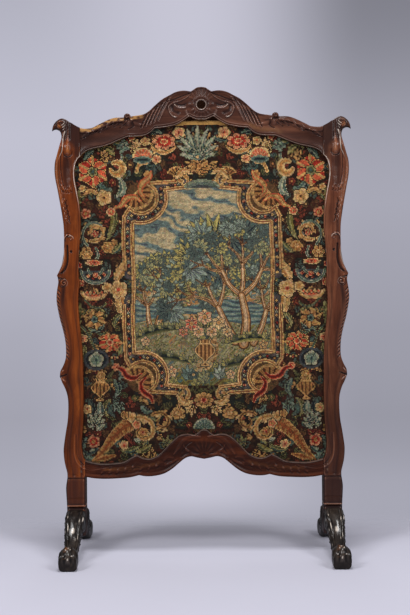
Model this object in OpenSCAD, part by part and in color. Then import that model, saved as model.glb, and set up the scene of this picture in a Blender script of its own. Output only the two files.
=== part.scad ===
// Fire screen with a sliding needlework leaf, in a carved walnut frame on scroll feet.
// X is the width, Y the depth with the front towards -Y, Z is up. The origin is on the floor, in the middle.
// Outlines are points in millimetres, or shares of the span that they cover, joined by splines.

/* [Leaf] */
// Width of the leaf
leaf_w = 628; // [560:1:700]
// Height of the leaf's top edge above the floor, at the middle
leaf_top_z = 1050; // [980:1:1120]
// Height of the leaf's lower edge above the floor, at its sides
leaf_low_z = 202; // [190:1:215]
// Drop of the leaf's curved top edge from its middle to its sides
leaf_crown = 56; // [50:1:58]
// Rise of the leaf's lower edge towards the middle
leaf_arch = 54; // [48:1:58]
// Thickness of the leaf's wooden strainer
strainer_t = 10.4; // [9:0.2:11]
// Width of the strainer's stiles
strainer_w = 50; // [40:1:60]
// Width of the strainer's top rail at its ends
strainer_top_w = 44; // [36:1:60]
// Width of the strainer's bottom rail at its ends
strainer_low_w = 98; // [85:1:120]
// Width of the strainer's middle rail
middle_rail_w = 46; // [36:1:56]
// Length of the middle rail's stub tenons
stub_l = 14; // [8:1:20]
// Thickness of the middle rail's stub tenons
stub_t = 4; // [3:0.5:5]

/* [Cloth] */
// Thickness of the needlework
wool_t = 1.9; // [1.4:0.1:2.2]
// Thickness of the linen under the needlework
linen_t = 0.6; // [0.4:0.1:0.8]
// Thickness of the back lining
lining_t = 0.6; // [0.4:0.1:0.8]
// How far the back lining stays inside the leaf's edge
lining_inset = 16; // [12:1:22]
// Width of the braid above the needlework
braid_w = 9; // [6:1:12]
// Bare wood between the braid and the leaf's top edge
braid_inset = 2; // [1:0.5:4]
// Thickness of the braid
braid_t = 2.1; // [1:0.1:2.4]
// How far the needlework stays inside the leaf's side and lower edges
wool_inset = 2; // [1:0.5:4]
// Width of the fine needlework in the middle
centre_w = 330; // [280:1:370]
// Height of the fine needlework in the middle
centre_h = 480; // [440:1:500]
// Height of the middle of the fine needlework
centre_z = 645; // [630:1:660]
// Radius of the fine needlework's hollow corners
centre_r = 62; // [54:1:70]
// How far the centres of these corners stay inside the sides
corner_in_x = 16; // [0:1:24]
// How far the centres of these corners stay inside the ends
corner_in_z = 22; // [0:1:30]

/* [Running fit] */
// Gap between the leaf's faces and the slot
leaf_gap = 0.5; // [0.4:0.1:1]
// Gap between the leaf's sides and the bottom of the grooves
side_gap = 1; // [0.8:0.1:2]
// Gap between the leaf's lower edge and the bottom rail
rest_gap = 0.3; // [0.2:0.1:0.6]

/* [Frame] */
// Thickness of the wood in front of the slot
front_lip = 13; // [12:0.5:16]
// Thickness of the wood behind the slot
back_lip = 14; // [12:0.5:18]
// Depth of the channels between the mouldings on the front
channel = 2.5; // [1.5:0.5:3.5]
// Width of the bead along the opening
bead_w = 6; // [4:0.5:8]
// Width of the outer moulding
band_w = 8; // [6:0.5:10]
// Depth of the hidden slack behind each tenon
tenon_slack = 1; // [0.5:0.1:2]
// Gap round the tenons
joint_gap = 0.1; // [0.05:0.01:0.2]

/* [Uprights] */
// How far the post's outer face stands outside the bottom of the groove
post_out = 18; // [15:0.5:20]
// How far the top rail's shoulder stands inside the bottom of the groove
top_shoulder = 21; // [18:0.5:24]
// How far the bottom rail's shoulder stands inside the bottom of the groove
low_shoulder = 27; // [24:0.5:30]
// Height of the lower end of the post, between the feet
post_low_z = 46; // [40:1:52]
// Height of the lower outer ear
low_ear_z = 430; // [400:1:460]
// Height of the upper outer ear
high_ear_z = 676; // [650:1:700]
// Step from the rail's lower edge down to the post
post_step = 3; // [1:0.5:8]
// How far the throat of the bird's head stays below the rail's ends
throat_drop = 23; // [20:0.5:26]
// Height of the bird's eye above the throat
skull_rise = 31; // [29:0.5:32]
// Radius of the bird's skull
skull_r = 16.5; // [14:0.5:16.5]
// Thickness of the bird's neck
neck_t = 30; // [26:1:34]
// Height of the small holes for candle arms above the upper ear
arm_hole_rise = 57; // [50:1:60]
// Diameter of the small holes for candle arms
arm_hole_d = 5.6; // [4:0.1:8]
// Depth of the small holes for candle arms
arm_hole_depth = 12; // [8:1:12]
// Distance of these holes outside the bottom of the groove
arm_hole_out = 3; // [2:0.5:8]

/* [Top rail] */
// Height of the rail's ends, at the uprights
rail_end_h = 70; // [62:1:76]
// Rise of the opening from its corner to the middle
arch_rise = 87; // [82:1:90]
// Share of that rise at which the back board's edge runs straight across
back_arch = 0.86; // [0.8:0.01:0.94]
// Rise of the crest above the rail's ends
crest_rise = 97; // [92:1:104]
// How far the back board's top edge stays below the carved one
back_drop = 3; // [1:0.5:6]
// Height of the round eye's centre below the top of the crest
eye_drop = 44; // [40:1:48]
// Radius of the round eye
eye_r = 10.3; // [8:0.1:12]
// Width of the raised ring round the eye
eye_ring = 5; // [3:0.5:7]
// How far the eye's ring stands in front of the rail
eye_proud = 5; // [2:0.5:7]
// Radius of the scroll knobs on the top edge
knob_r = 8; // [6:0.5:10]
// Height of the top rail's tenons
top_tenon_h = 44; // [36:1:50]

/* [Bottom rail] */
// How far the opening's lower corner stands above the leaf's lower edge
sill_lap = 25; // [20:1:28]
// Height of the rail's ends, at the uprights
apron_h = 40; // [36:1:44]
// Rise of the opening's lower edge to the middle
sill_rise = 73; // [68:1:80]
// Rise of the rail's lower edge to the middle
apron_rise = 41; // [36:1:44]
// Height of the bottom rail's tenons
low_tenon_h = 26; // [20:1:30]
// Radius of the raised cartouche
cartouche_r = 20; // [16:1:24]

/* [Joints] */
// Thickness of the rail tenons
tenon_t = 6; // [5:0.5:7]
// Length of the rail tenons
tenon_l = 22; // [18:1:23]
// Diameter of the pegs
peg_d = 6; // [4:0.5:7]
// Gap round each peg
peg_gap = 0.05; // [0.02:0.01:0.1]

/* [Feet] */
// Reach of each foot from the middle of the post
foot_reach = 204; // [180:1:220]
// Height of the top of the feet
foot_top_z = 107; // [100:1:110]
// Width of the feet at the post
foot_w = 46; // [42:1:50]
// Width of the feet at the ankle
ankle_w = 32; // [26:1:36]
// Width of the toe
toe_w = 42; // [38:1:46]
// Length of the foot tenons
foot_tenon_l = 14; // [10:1:16]
// Width of the foot tenons
foot_tenon_w = 12; // [10:1:16]
// Height of the foot tenons
foot_tenon_h = 38; // [30:1:42]

/* [Tacks and springs] */
// Greatest spacing of the tacks round the lining
tack_pitch = 62; // [45:1:90]
// Diameter of the tack heads
tack_d = 8; // [6:0.5:10]
// Thickness of the tack heads
tack_t = 0.5; // [0.4:0.1:0.5]
// Diameter of the tack shanks
shank_d = 1.6; // [1.2:0.1:2]
// Length of the tack shanks in the wood
shank_l = 6; // [4:0.5:8]
// Distance of the tacks from the edge of the lining
tack_inset = 7; // [5:1:10]
// Length of the edge springs
spring_l = 160; // [120:1:200]
// Width of the edge springs
spring_w = 7; // [5:0.5:8]
// Thickness of the edge springs
spring_t = 0.8; // [0.5:0.1:1]
// Depth of the recess for each spring
spring_recess = 2.6; // [2:0.1:3]
// Height of the middle of the springs
spring_z = 480; // [420:1:520]

/* [Hidden] */
$fn = 48;
eps = 0.01;
far = 2000;
// How far a piece that joins another runs into it, and how far pegs stay clear of the slot
root = 5;
peg_end = 0.2;

// Depth of each layer, from the front to the back
leaf_t = wool_t + linen_t + strainer_t + lining_t + tack_t;
slot_t = leaf_t + 2 * leaf_gap;
frame_t = front_lip + slot_t + back_lip;
front_y = -frame_t / 2;
back_y = frame_t / 2;
slot_front_y = front_y + front_lip;
slot_back_y = back_y - back_lip;
wool_y = slot_front_y + leaf_gap;
linen_y = wool_y + wool_t;
strainer_y = linen_y + linen_t;
lining_y = strainer_y + strainer_t;
tack_y = lining_y + lining_t;
lap_y = strainer_y + strainer_t / 2;
channel_y = front_y + channel;
front_tenon_y = front_y + front_lip / 2;
back_tenon_y = back_y - back_lip / 2;

// Heights, from the leaf to the frame round it
top_corner_z = leaf_top_z - arch_rise;
rail_end_z = top_corner_z + rail_end_h;
throat_z = rail_end_z - throat_drop;
low_corner_z = leaf_low_z + sill_lap;
apron_z = low_corner_z - apron_h;
post_top_z = apron_z - post_step;
arm_hole_z = high_ear_z + arm_hole_rise;
strainer_top_z = leaf_top_z - leaf_crown - strainer_top_w;
strainer_low_z = leaf_low_z + strainer_low_w;
middle_rail_z = (strainer_top_z + strainer_low_z) / 2;

// Places across the width
leaf_half = leaf_w / 2;
groove_x = leaf_half + side_gap;
top_half = groove_x - top_shoulder;
low_half = groove_x - low_shoulder;
foot_x = groove_x + (post_out - low_shoulder) / 2;
crown_r = (pow(leaf_half, 2) + pow(leaf_crown, 2)) / (2 * leaf_crown);
eye_z = rail_end_z + crest_rise - eye_drop;
centre_side = centre_w / 2;
peg_hole_r = peg_d / 2 + peg_gap;
top_tenon_z = (top_corner_z + rail_end_z) / 2;
low_tenon_z = (low_corner_z + apron_z) / 2;
tenon_peg_x = tenon_l / 2;

// A smooth curve through the points, with a few steps between each pair
steps = 5;
function at(p, i) = p[min(max(i, 0), len(p) - 1)];
function between(a, b, c, d, t) = 0.5 * (2 * b + (c - a) * t + (2 * a - 5 * b + 4 * c - d) * t * t
    + (3 * b - a - 3 * c + d) * t * t * t);
function spline(p) = concat([for (i = [0:len(p) - 2], k = [0:steps - 1])
    between(at(p, i - 1), p[i], p[i + 1], at(p, i + 2), k / steps)], [p[len(p) - 1]]);
function flip(p) = [for (i = [len(p) - 1:-1:0]) p[i]];
function mirrored(p) = concat([for (i = [len(p) - 1:-1:1]) [-p[i][0], p[i][1]]], p);
// Shares of a span and of a rise become places
function spread(p, span, z, rise) = [for (q = p) [q[0] * span, z + q[1] * rise]];
function climb(p, low, high) = [for (q = p) [q[0], low + q[1] * (high - low)]];
function moved(p, x, z) = [for (q = p) [q[0] + x, q[1] + z]];

// Top edge of the crest board, from the middle to the upright, as shares of the half span and of the rise
crest_shell = [[0, 1], [0.035, 0.985], [0.06, 0.935], [0.085, 0.888]];
crest_hump = [[0.085, 0.888], [0.15, 0.91], [0.21, 0.876], [0.26, 0.8], [0.32, 0.7], [0.38, 0.55],
    [0.43, 0.41], [0.48, 0.325], [0.55, 0.29]];
crest_scroll = [[0.55, 0.29], [0.63, 0.255], [0.7, 0.25], [0.75, 0.215], [0.8, 0.15], [0.86, 0.06], [0.9, 0],
    [0.96, -0.02], [1, 0]];
function top_edge(drop) = moved(mirrored(concat(
    spline(spread(crest_shell, top_half, rail_end_z, crest_rise)),
    spline(spread(crest_hump, top_half, rail_end_z, crest_rise)),
    spline(spread(crest_scroll, top_half, rail_end_z, crest_rise)))), 0, -drop);

// Upper edge of the opening, from the middle to the upright
arch_shell = [[0, 1], [0.03, 0.995], [0.06, 1.03], [0.1, 1.09]];
arch_leaf = [[0.1, 1.09], [0.15, 0.97], [0.21, 0.86], [0.28, 0.8], [0.34, 0.775], [0.385, 0.765]];
arch_step = [[0.385, 0.765], [0.41, 0.68], [0.45, 0.59], [0.51, 0.545], [0.61, 0.535]];
arch_end = [[0.61, 0.535], [0.68, 0.44], [0.75, 0.34], [0.82, 0.265], [0.9, 0.21], [0.95, 0.15], [0.98, 0.08],
    [1, 0]];
arch_edge = mirrored(concat(
    spline(spread(arch_shell, top_half, top_corner_z, arch_rise)),
    spline(spread(arch_leaf, top_half, top_corner_z, arch_rise)),
    spline(spread(arch_step, top_half, top_corner_z, arch_rise)),
    spline(spread(arch_end, top_half, top_corner_z, arch_rise))));

// Lower edge of the opening
sill_middle = [[0, 1], [0.025, 0.975], [0.05, 0.89], [0.083, 0.81]];
sill_hump = [[0.083, 0.81], [0.14, 0.85], [0.2, 0.81], [0.26, 0.64], [0.32, 0.4], [0.38, 0.17], [0.45, 0.045],
    [0.51, 0.06], [0.565, 0.165]];
sill_end = [[0.565, 0.165], [0.61, 0.085], [0.68, -0.06], [0.77, -0.105], [0.86, -0.115], [0.93, -0.075],
    [1, 0]];
sill_edge = mirrored(concat(
    spline(spread(sill_middle, low_half, low_corner_z, sill_rise)),
    spline(spread(sill_hump, low_half, low_corner_z, sill_rise)),
    spline(spread(sill_end, low_half, low_corner_z, sill_rise))));

// Lower edge of the apron
apron_middle = [[0, 1], [0.06, 1.08], [0.11, 1.15], [0.16, 1.05], [0.21, 0.78], [0.27, 0.43], [0.34, 0.15],
    [0.42, 0.02], [0.49, 0], [0.55, 0.07]];
apron_end = [[0.55, 0.07], [0.63, -0.06], [0.73, -0.11], [0.84, -0.13], [0.93, -0.09], [1, 0]];
apron_edge = mirrored(concat(
    spline(spread(apron_middle, low_half, apron_z, apron_rise)),
    spline(spread(apron_end, low_half, apron_z, apron_rise))));

// Pegs of the strainer's corners and of its middle rail
leaf_peg_x = leaf_half - strainer_w / 2;
leaf_peg_rise = [strainer_top_z + strainer_top_w / 2, strainer_low_z - 0.4 * strainer_low_w];
leaf_peg_places = [for (s = [-1, 1], z = leaf_peg_rise) [s * leaf_peg_x, z]];
stub_peg_places = [for (s = [-1, 1]) [s * (leaf_half - strainer_w + stub_l / 2), middle_rail_z]];

// Lower edge of the leaf
leaf_foot = [[0, 1], [0.14, 0.9], [0.3, 0.38], [0.42, 0.06], [0.55, 0], [1, 0]];
leaf_foot_edge = mirrored(spline(spread(leaf_foot, leaf_half, leaf_low_z, leaf_arch)));

// Inner edge of the upright, as distances outside the bottom of the groove, from corner to corner
inner_points = [[-24, 0.006], [-21, 0.022], [-18.5, 0.055], [-21.5, 0.1], [-23.5, 0.16], [-24, 0.25],
    [-23.3, 0.33], [-21, 0.39], [-16.5, 0.45], [-13.5, 0.505], [-14, 0.55], [-17, 0.578], [-15.3, 0.605],
    [-14.4, 0.64], [-16, 0.69], [-19.5, 0.745], [-20.8, 0.785], [-18.5, 0.835], [-12.5, 0.885], [-7.6, 0.92],
    [-6.3, 0.95], [-9.5, 0.976], [-15, 0.992]];
inner_edge = spline(concat([[-low_shoulder, low_corner_z]], climb(inner_points, low_corner_z, top_corner_z),
    [[-top_shoulder, top_corner_z]]));

// Outer edge of the upright, with an ear at the end of the first two runs
post_run = [[0, 0], [0.5, 0.45], [2.5, 0.75], [2.5, 0.86], [-0.5, 1]];
low_run = [[post_out - 0.5, 0], [post_out - 0.5, 0.05], [21, 0.11], [24.5, 0.18], [26, 0.27], [24.5, 0.34],
    [20, 0.46], [15.5, 0.57], [13.7, 0.7], [15, 0.8], [20.5, 0.88], [27.5, 0.94], [33.5, 1]];
middle_run = [[33.5, 0], [32, 0.055], [24.5, 0.115], [19.5, 0.175], [18, 0.24], [19.5, 0.35], [25.5, 0.47],
    [33, 0.585], [38.8, 0.71], [40, 0.77], [39, 0.84], [35.3, 0.94], [38.5, 1]];
high_run = [[38.5, 0], [33, 0.03], [27, 0.075], [23, 0.13], [21, 0.19], [21, 0.34], [25, 0.44], [30, 0.53],
    [36, 0.63], [40.5, 0.7], [42.2, 0.76], [41, 0.82], [36.5, 0.87], [30.5, 0.93], [26.3, 0.985], [25.5, 1]];
outer_edge = concat(
    spline(climb(moved(post_run, post_out, 0), post_low_z, post_top_z)),
    spline(climb(low_run, post_top_z, low_ear_z)),
    spline(climb(middle_run, low_ear_z, high_ear_z)),
    spline(climb(high_run, high_ear_z, throat_z)));

// The bird's head above the throat, in millimetres outside the groove and above the throat
under_beak = [[25.5, 0], [27, 10], [30, 17], [36, 20.5], [42, 21], [49, 17]];
over_head = [[49, 17], [47.5, 27], [43.5, 36], [37, 43], [30, 47.3], [23, 48.5], [16, 46.5], [9, 42],
    [2, 36.5], [-6, 31], [-13, 27]];
head_edge = concat(
    spline(moved(under_beak, 0, throat_z)),
    spline(concat(moved(over_head, 0, throat_z), [[-top_shoulder, rail_end_z]])));
skull_out = 23;
// Where the neck's thinning starts and ends below the throat, and the room cleared round the head
neck_slope = [4, 26];
head_room = 80;

// Side view of a foot: distance from the middle of the post, and height
foot_back = [[0, 51], [20, 57], [36, 57], [56, 52], [76, 42], [96, 29], [116, 16], [134, 6], [146, 0]];
foot_toe = [[178, 0], [183, 8], [183.5, 24], [181, 38], [173, 48], [162, 51.5], [152, 49], [145, 42],
    [142, 37]];
foot_front = [[142, 37], [126, 38], [108, 44], [88, 58], [68, 77], [50, 93], [32, 103], [14, 108], [0, 107]];
foot_scale = (foot_reach - back_y) / 183.5;
foot_lift = foot_top_z / 107;
foot_outline = [for (q = concat(spline(foot_back), spline(foot_toe), spline(foot_front)))
    [back_y + q[0] * foot_scale, max(0, q[1] * foot_lift)]];
// The groove that parts the toe's two scrolls: where it starts, its height and its radius
toe_groove = [141, 50];
toe_groove_r = 4;
foot_tenon_rise = 3;
// Half width of a foot along its length
foot_plan = [for (q = spline([[0, foot_w / 2], [30, foot_w / 2], [55, foot_w / 2 - 2], [85, ankle_w / 2 + 2],
    [110, ankle_w / 2], [132, ankle_w / 2], [146, toe_w / 2 - 1], [160, toe_w / 2], [183.5, toe_w / 2]]))
    [back_y + q[0] * foot_scale, q[1]]];
foot_tenon_z = (foot_top_z + post_low_z) / 2 + foot_tenon_rise;
foot_peg_y = back_y - foot_tenon_l / 2;

// Rows of tacks round the back lining, along its curved edges and up its sides
tack_half = leaf_half - lining_inset - tack_inset;
function crown_z(x) = leaf_top_z - crown_r + sqrt(crown_r * crown_r - x * x);
function tack_low_z(x) = lookup(x, leaf_foot_edge) + lining_inset + tack_inset;
function tack_top_z(x) = crown_z(x) - lining_inset - tack_inset;
tack_foot_z = tack_low_z(tack_half);
tack_side_h = tack_top_z(tack_half) - tack_foot_z;
tacks_across = ceil(2 * tack_half / tack_pitch);
tacks_up = ceil(tack_side_h / tack_pitch);
tack_rows = [for (i = [0:tacks_across]) -tack_half + 2 * tack_half * i / tacks_across];
tack_places = concat([for (x = tack_rows) [x, tack_low_z(x)]], [for (x = tack_rows) [x, tack_top_z(x)]],
    [for (i = [1:tacks_up - 1], s = [-1, 1]) [s * tack_half, tack_foot_z + tack_side_h * i / tacks_up]]);

// Places of the small carved volutes on the uprights: outside the groove, above the upper ear, and radius
upright_volutes = [[10, 64, 7], [24, -20, 9]];
// Places of the crest's carved bosses: from the middle, above the eye, radius and how far they stand out
crest_bosses = [[50, -2, 15, 2], [84, -20, 11, 1]];
// The lobes of the shell round the eye: distance from it, radius and how far they stand out
shell_lobe = [24, 7, 3];
lobe_angles = [-75:30:75];
knob_share = [0.61, 0.27];

cartouche_proud = 2;
// Room round each spring across and along its recess
spring_room = [0.3, 2];
// Where the springs' nails are along them, and the nail heads' width and thickness
nail_share = 0.46;
nail_head = [4, 0.6];

// Colours of the finishes
warm_walnut = [0.42, 0.19, 0.09];
dark_walnut = [0.3, 0.15, 0.1];
foot_walnut = [0.16, 0.11, 0.08];
peg_wood = [0.22, 0.12, 0.07];
pale_wood = [0.68, 0.5, 0.3];
wool_dark = [0.22, 0.17, 0.12];
wool_blue = [0.36, 0.42, 0.4];
linen = [0.72, 0.66, 0.52];
gold_braid = [0.72, 0.5, 0.2];
lining_cloth = [0.4, 0.33, 0.24];
iron = [0.25, 0.24, 0.23];
steel = [0.5, 0.5, 0.5];

// A flat shape in the plane of the screen, from one depth to another
module slab(near, away) {
    translate([0, away, 0]) rotate([90, 0, 0]) linear_extrude(away - near) children();
}
// A flat shape seen from the side, from one width to another
module cheek(from, to) {
    translate([from, 0, 0]) rotate([90, 0, 90]) linear_extrude(to - from) children();
}
// A box between two corners
module block(a, b) {
    translate(a) cube(b - a);
}
// A cylinder along Y
module rod_y(x, z, r, near, away) {
    translate([x, away, z]) rotate([90, 0, 0]) cylinder(r = r, h = away - near);
}
module strip(edge, shift) {
    polygon(concat(edge, flip(moved(edge, shift[0], shift[1]))));
}

// Tenons of a rail on both ends, with their peg holes
module rail_tenons(half, z, h, y) {
    for (s = [0, 1]) mirror([s, 0, 0]) difference() {
        block([half - 1, y - tenon_t / 2, z - h / 2], [half + tenon_l, y + tenon_t / 2, z + h / 2]);
        for (k = [-1, 1]) rod_y(half + tenon_peg_x, z + k * h / 4, peg_hole_r, y - tenon_t, y + tenon_t);
    }
}
module rail_mortise(half, z, h, y) {
    block([half - 1, y - tenon_t / 2 - joint_gap, z - h / 2 - joint_gap],
        [half + tenon_l + tenon_slack, y + tenon_t / 2 + joint_gap, z + h / 2 + joint_gap]);
}

// One upright, at the right side
module upright_outline() {
    polygon(concat([[-low_shoulder, post_low_z]], inner_edge, flip(head_edge), flip(outer_edge)));
}
module upright() {
    difference() {
        translate([groove_x, 0, 0]) {
            slab(channel_y, back_y) upright_outline();
            slab(front_y, channel_y + eps) strip(inner_edge, [bead_w, 0]);
            slab(front_y, channel_y + eps) strip(outer_edge, [-band_w, 0]);
            slab(front_y, channel_y + eps) translate([-low_shoulder, post_low_z])
                square([low_shoulder + post_out - 1, post_top_z - post_low_z]);
            translate([skull_out, 0, throat_z + skull_rise]) sphere(r = skull_r);
            for (v = upright_volutes) rod_y(v[0], high_ear_z + v[1], v[2], front_y - 1, slot_front_y);
        }
        // The neck and head are thinner than the frame
        for (s = [-1, 1]) cheek(groove_x + 1, groove_x + head_room) difference() {
            polygon([[s * (back_y + root), throat_z - neck_slope[1]],
                [s * neck_t / 2, throat_z - neck_slope[0]],
                [s * neck_t / 2, throat_z + head_room],
                [s * (back_y + root), throat_z + head_room]]);
            translate([0, throat_z + skull_rise]) circle(r = skull_r);
        }
        block([0, slot_front_y, leaf_low_z - rest_gap], [groove_x, slot_back_y, far]);
        rail_mortise(top_half, top_tenon_z, top_tenon_h, front_tenon_y);
        rail_mortise(top_half, top_tenon_z, top_tenon_h, back_tenon_y);
        rail_mortise(low_half, low_tenon_z, low_tenon_h, front_tenon_y);
        rail_mortise(low_half, low_tenon_z, low_tenon_h, back_tenon_y);
        for (k = [-1, 1], side = [[front_y - 5, slot_front_y + eps], [slot_back_y - eps, back_y + 1]]) {
            rod_y(top_half + tenon_peg_x, top_tenon_z + k * top_tenon_h / 4, peg_hole_r, side[0], side[1]);
            rod_y(low_half + tenon_peg_x, low_tenon_z + k * low_tenon_h / 4, peg_hole_r, side[0], side[1]);
        }
        rod_y(groove_x + arm_hole_out, arm_hole_z, arm_hole_d / 2, front_y - 5, front_y + arm_hole_depth);
        for (s = [0, 1]) mirror([0, s, 0]) foot_mortise();
    }
}
// Mortise and peg hole for the tenon of a rear foot
module foot_mortise() {
    half = foot_tenon_w / 2 + joint_gap;
    high = foot_tenon_h / 2 + joint_gap;
    block([foot_x - half, back_y - foot_tenon_l - tenon_slack, foot_tenon_z - high],
        [foot_x + half, back_y + 1, foot_tenon_z + high]);
    foot_peg_hole();
}
module foot_peg_hole() {
    translate([0, foot_peg_y, foot_tenon_z]) rotate([0, 90, 0]) cylinder(r = peg_hole_r, h = far);
}
module right_upright() {
    color(warm_walnut) upright();
}
module left_upright() {
    color(warm_walnut) mirror([1, 0, 0]) upright();
}

// Carved crest board in front of the slot
module top_rail_front() {
    color(dark_walnut) difference() {
        union() {
            slab(channel_y, slot_front_y) polygon(concat(top_edge(0), flip(arch_edge)));
            slab(front_y, channel_y + eps) strip(arch_edge, [0, bead_w]);
            slab(front_y, channel_y + eps) strip(top_edge(0), [0, -band_w]);
            rail_tenons(top_half, top_tenon_z, top_tenon_h, front_tenon_y);
            crest_carving();
        }
        rod_y(0, eye_z, eye_r, front_y - 20, slot_front_y + 1);
    }
}
module crest_carving() {
    rod_y(0, eye_z, eye_r + eye_ring, front_y - eye_proud, slot_front_y);
    for (a = lobe_angles) rod_y(shell_lobe[0] * sin(a), eye_z + shell_lobe[0] * cos(a), shell_lobe[1],
        front_y - shell_lobe[2], slot_front_y);
    for (s = [-1, 1]) {
        for (b = crest_bosses) rod_y(s * b[0], eye_z + b[1], b[2], front_y - b[3], slot_front_y);
        rod_y(s * knob_share[0] * top_half, rail_end_z + knob_share[1] * crest_rise, knob_r,
            front_y, slot_front_y);
    }
}

// Plain board behind the slot, which covers the leaf's top edge where the carved board is notched
back_edge = [for (q = flip(arch_edge)) if (q[1] < top_corner_z + back_arch * arch_rise) q];
module top_rail_back() {
    color(dark_walnut) {
        slab(slot_back_y, back_y) polygon(concat(top_edge(back_drop), back_edge));
        rail_tenons(top_half, top_tenon_z, top_tenon_h, back_tenon_y);
    }
}

// Carved apron, with a groove for the leaf's lower edge
module bottom_rail() {
    color(warm_walnut) difference() {
        union() {
            slab(channel_y, back_y) polygon(concat(sill_edge, flip(apron_edge)));
            slab(front_y, channel_y + eps) strip(sill_edge, [0, -bead_w]);
            slab(front_y, channel_y + eps) strip(apron_edge, [0, band_w]);
            rod_y(0, low_corner_z + sill_rise / 2, cartouche_r,
                front_y - cartouche_proud, slot_front_y);
            rail_tenons(low_half, low_tenon_z, low_tenon_h, front_tenon_y);
            rail_tenons(low_half, low_tenon_z, low_tenon_h, back_tenon_y);
        }
        slab(slot_front_y, slot_back_y) polygon(concat(moved(leaf_foot_edge, 0, -rest_gap),
            [[leaf_half, far], [-leaf_half, far]]));
    }
}

// A scroll foot, drawn for the right front
module foot() {
    mirror([0, 1, 0]) difference() {
        union() {
            intersection() {
                cheek(foot_x - foot_w, foot_x + foot_w) polygon(foot_outline);
                translate([foot_x, 0, 0]) linear_extrude(foot_top_z + 10) polygon(concat(
                    [for (q = foot_plan) [q[1], q[0]]], [for (q = flip(foot_plan)) [-q[1], q[0]]]));
            }
            block([foot_x - foot_tenon_w / 2, back_y - foot_tenon_l, foot_tenon_z - foot_tenon_h / 2],
                [foot_x + foot_tenon_w / 2, back_y + root, foot_tenon_z + foot_tenon_h / 2]);
        }
        foot_peg_hole();
        // The groove that parts the toe's two scrolls
        translate([foot_x, back_y + toe_groove[0] * foot_scale, toe_groove[1] * foot_lift])
            rotate([-90, 0, 0]) cylinder(r = toe_groove_r, h = foot_reach);
    }
}
module right_front_foot() {
    color(foot_walnut) foot();
}
module right_rear_foot() {
    color(foot_walnut) mirror([0, 1, 0]) foot();
}
module left_front_foot() {
    color(foot_walnut) mirror([1, 0, 0]) foot();
}
module left_rear_foot() {
    color(foot_walnut) mirror([1, 0, 0]) mirror([0, 1, 0]) foot();
}

// Pegs through the tenons
module top_rail_pegs() {
    color(peg_wood) for (s = [-1, 1], k = [-1, 1]) {
        x = s * (top_half + tenon_peg_x);
        z = top_tenon_z + k * top_tenon_h / 4;
        rod_y(x, z, peg_d / 2, channel_y, slot_front_y - peg_end);
        rod_y(x, z, peg_d / 2, slot_back_y + peg_end, back_y);
    }
}
module bottom_rail_pegs() {
    color(peg_wood) for (s = [-1, 1], k = [-1, 1]) {
        x = s * (low_half + tenon_peg_x);
        z = low_tenon_z + k * low_tenon_h / 4;
        rod_y(x, z, peg_d / 2, channel_y, slot_front_y - peg_end);
        rod_y(x, z, peg_d / 2, slot_back_y + peg_end, back_y);
    }
}
module foot_pegs() {
    color(peg_wood) for (s = [0, 1], k = [-1, 1]) mirror([s, 0, 0])
        translate([low_half, k * foot_peg_y, foot_tenon_z]) rotate([0, 90, 0])
            cylinder(d = peg_d, h = low_shoulder + post_out);
}

// The leaf's outline, with its curved top
module leaf_shape(inset, top_inset) {
    intersection() {
        translate([0, leaf_top_z - top_inset - crown_r]) circle(r = crown_r, $fn = 360);
        polygon(concat(moved([for (q = leaf_foot_edge) [q[0] * (1 - inset / leaf_half), q[1]]], 0, inset),
            [[leaf_half - inset, leaf_top_z], [inset - leaf_half, leaf_top_z]]));
    }
}
module leaf_band(low, high) {
    intersection() {
        leaf_shape(0, 0);
        translate([-leaf_half, low]) square([leaf_w, high - low]);
    }
}
module leaf_peg_holes() {
    for (q = leaf_peg_places) rod_y(q[0], q[1], peg_hole_r, strainer_y - 1, lining_y + 1);
}
module stub_peg_holes() {
    for (q = stub_peg_places) rod_y(q[0], q[1], peg_hole_r, strainer_y - 1, lining_y + 1);
}

// Right stile of the strainer, halved behind the rails
module leaf_stile() {
    inner_x = leaf_half - strainer_w;
    stub_z = middle_rail_w / 3 + joint_gap;
    stub_y = stub_t / 2 + joint_gap;
    recess_y = spring_w / 2 + spring_room[0];
    recess_z = spring_l / 2 + spring_room[1];
    difference() {
        slab(strainer_y, lining_y) intersection() {
            leaf_shape(0, 0);
            translate([inner_x, 0]) square([strainer_w, far]);
        }
        block([inner_x - 1, strainer_y - 1, strainer_top_z], [leaf_half + 1, lap_y, far]);
        block([inner_x - 1, strainer_y - 1, 0], [leaf_half + 1, lap_y, strainer_low_z]);
        block([inner_x - 1, lap_y - stub_y, middle_rail_z - stub_z],
            [inner_x + stub_l + tenon_slack, lap_y + stub_y, middle_rail_z + stub_z]);
        block([leaf_half - spring_recess, lap_y - recess_y, spring_z - recess_z],
            [leaf_half + 1, lap_y + recess_y, spring_z + recess_z]);
        leaf_peg_holes();
        stub_peg_holes();
    }
}
module leaf_left_stile() {
    color(pale_wood) mirror([1, 0, 0]) leaf_stile();
}
module leaf_right_stile() {
    color(pale_wood) leaf_stile();
}
// Rails of the strainer, halved in front of the stiles
module leaf_rail(low, high) {
    difference() {
        slab(strainer_y, lining_y) leaf_band(low, high);
        for (s = [0, 1]) mirror([s, 0, 0])
            block([leaf_half - strainer_w, lap_y, 0], [leaf_half + 1, lining_y + 1, far]);
        leaf_peg_holes();
    }
}
module leaf_top_rail() {
    color(pale_wood) leaf_rail(strainer_top_z, leaf_top_z + 1);
}
module leaf_bottom_rail() {
    color(pale_wood) leaf_rail(leaf_low_z, strainer_low_z);
}
module leaf_middle_rail() {
    half = leaf_half - strainer_w;
    color(pale_wood) difference() {
        union() {
            block([-half, strainer_y, middle_rail_z - middle_rail_w / 2],
                [half, lining_y, middle_rail_z + middle_rail_w / 2]);
            block([-half - stub_l, lap_y - stub_t / 2, middle_rail_z - middle_rail_w / 3],
                [half + stub_l, lap_y + stub_t / 2, middle_rail_z + middle_rail_w / 3]);
        }
        stub_peg_holes();
    }
}
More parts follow.
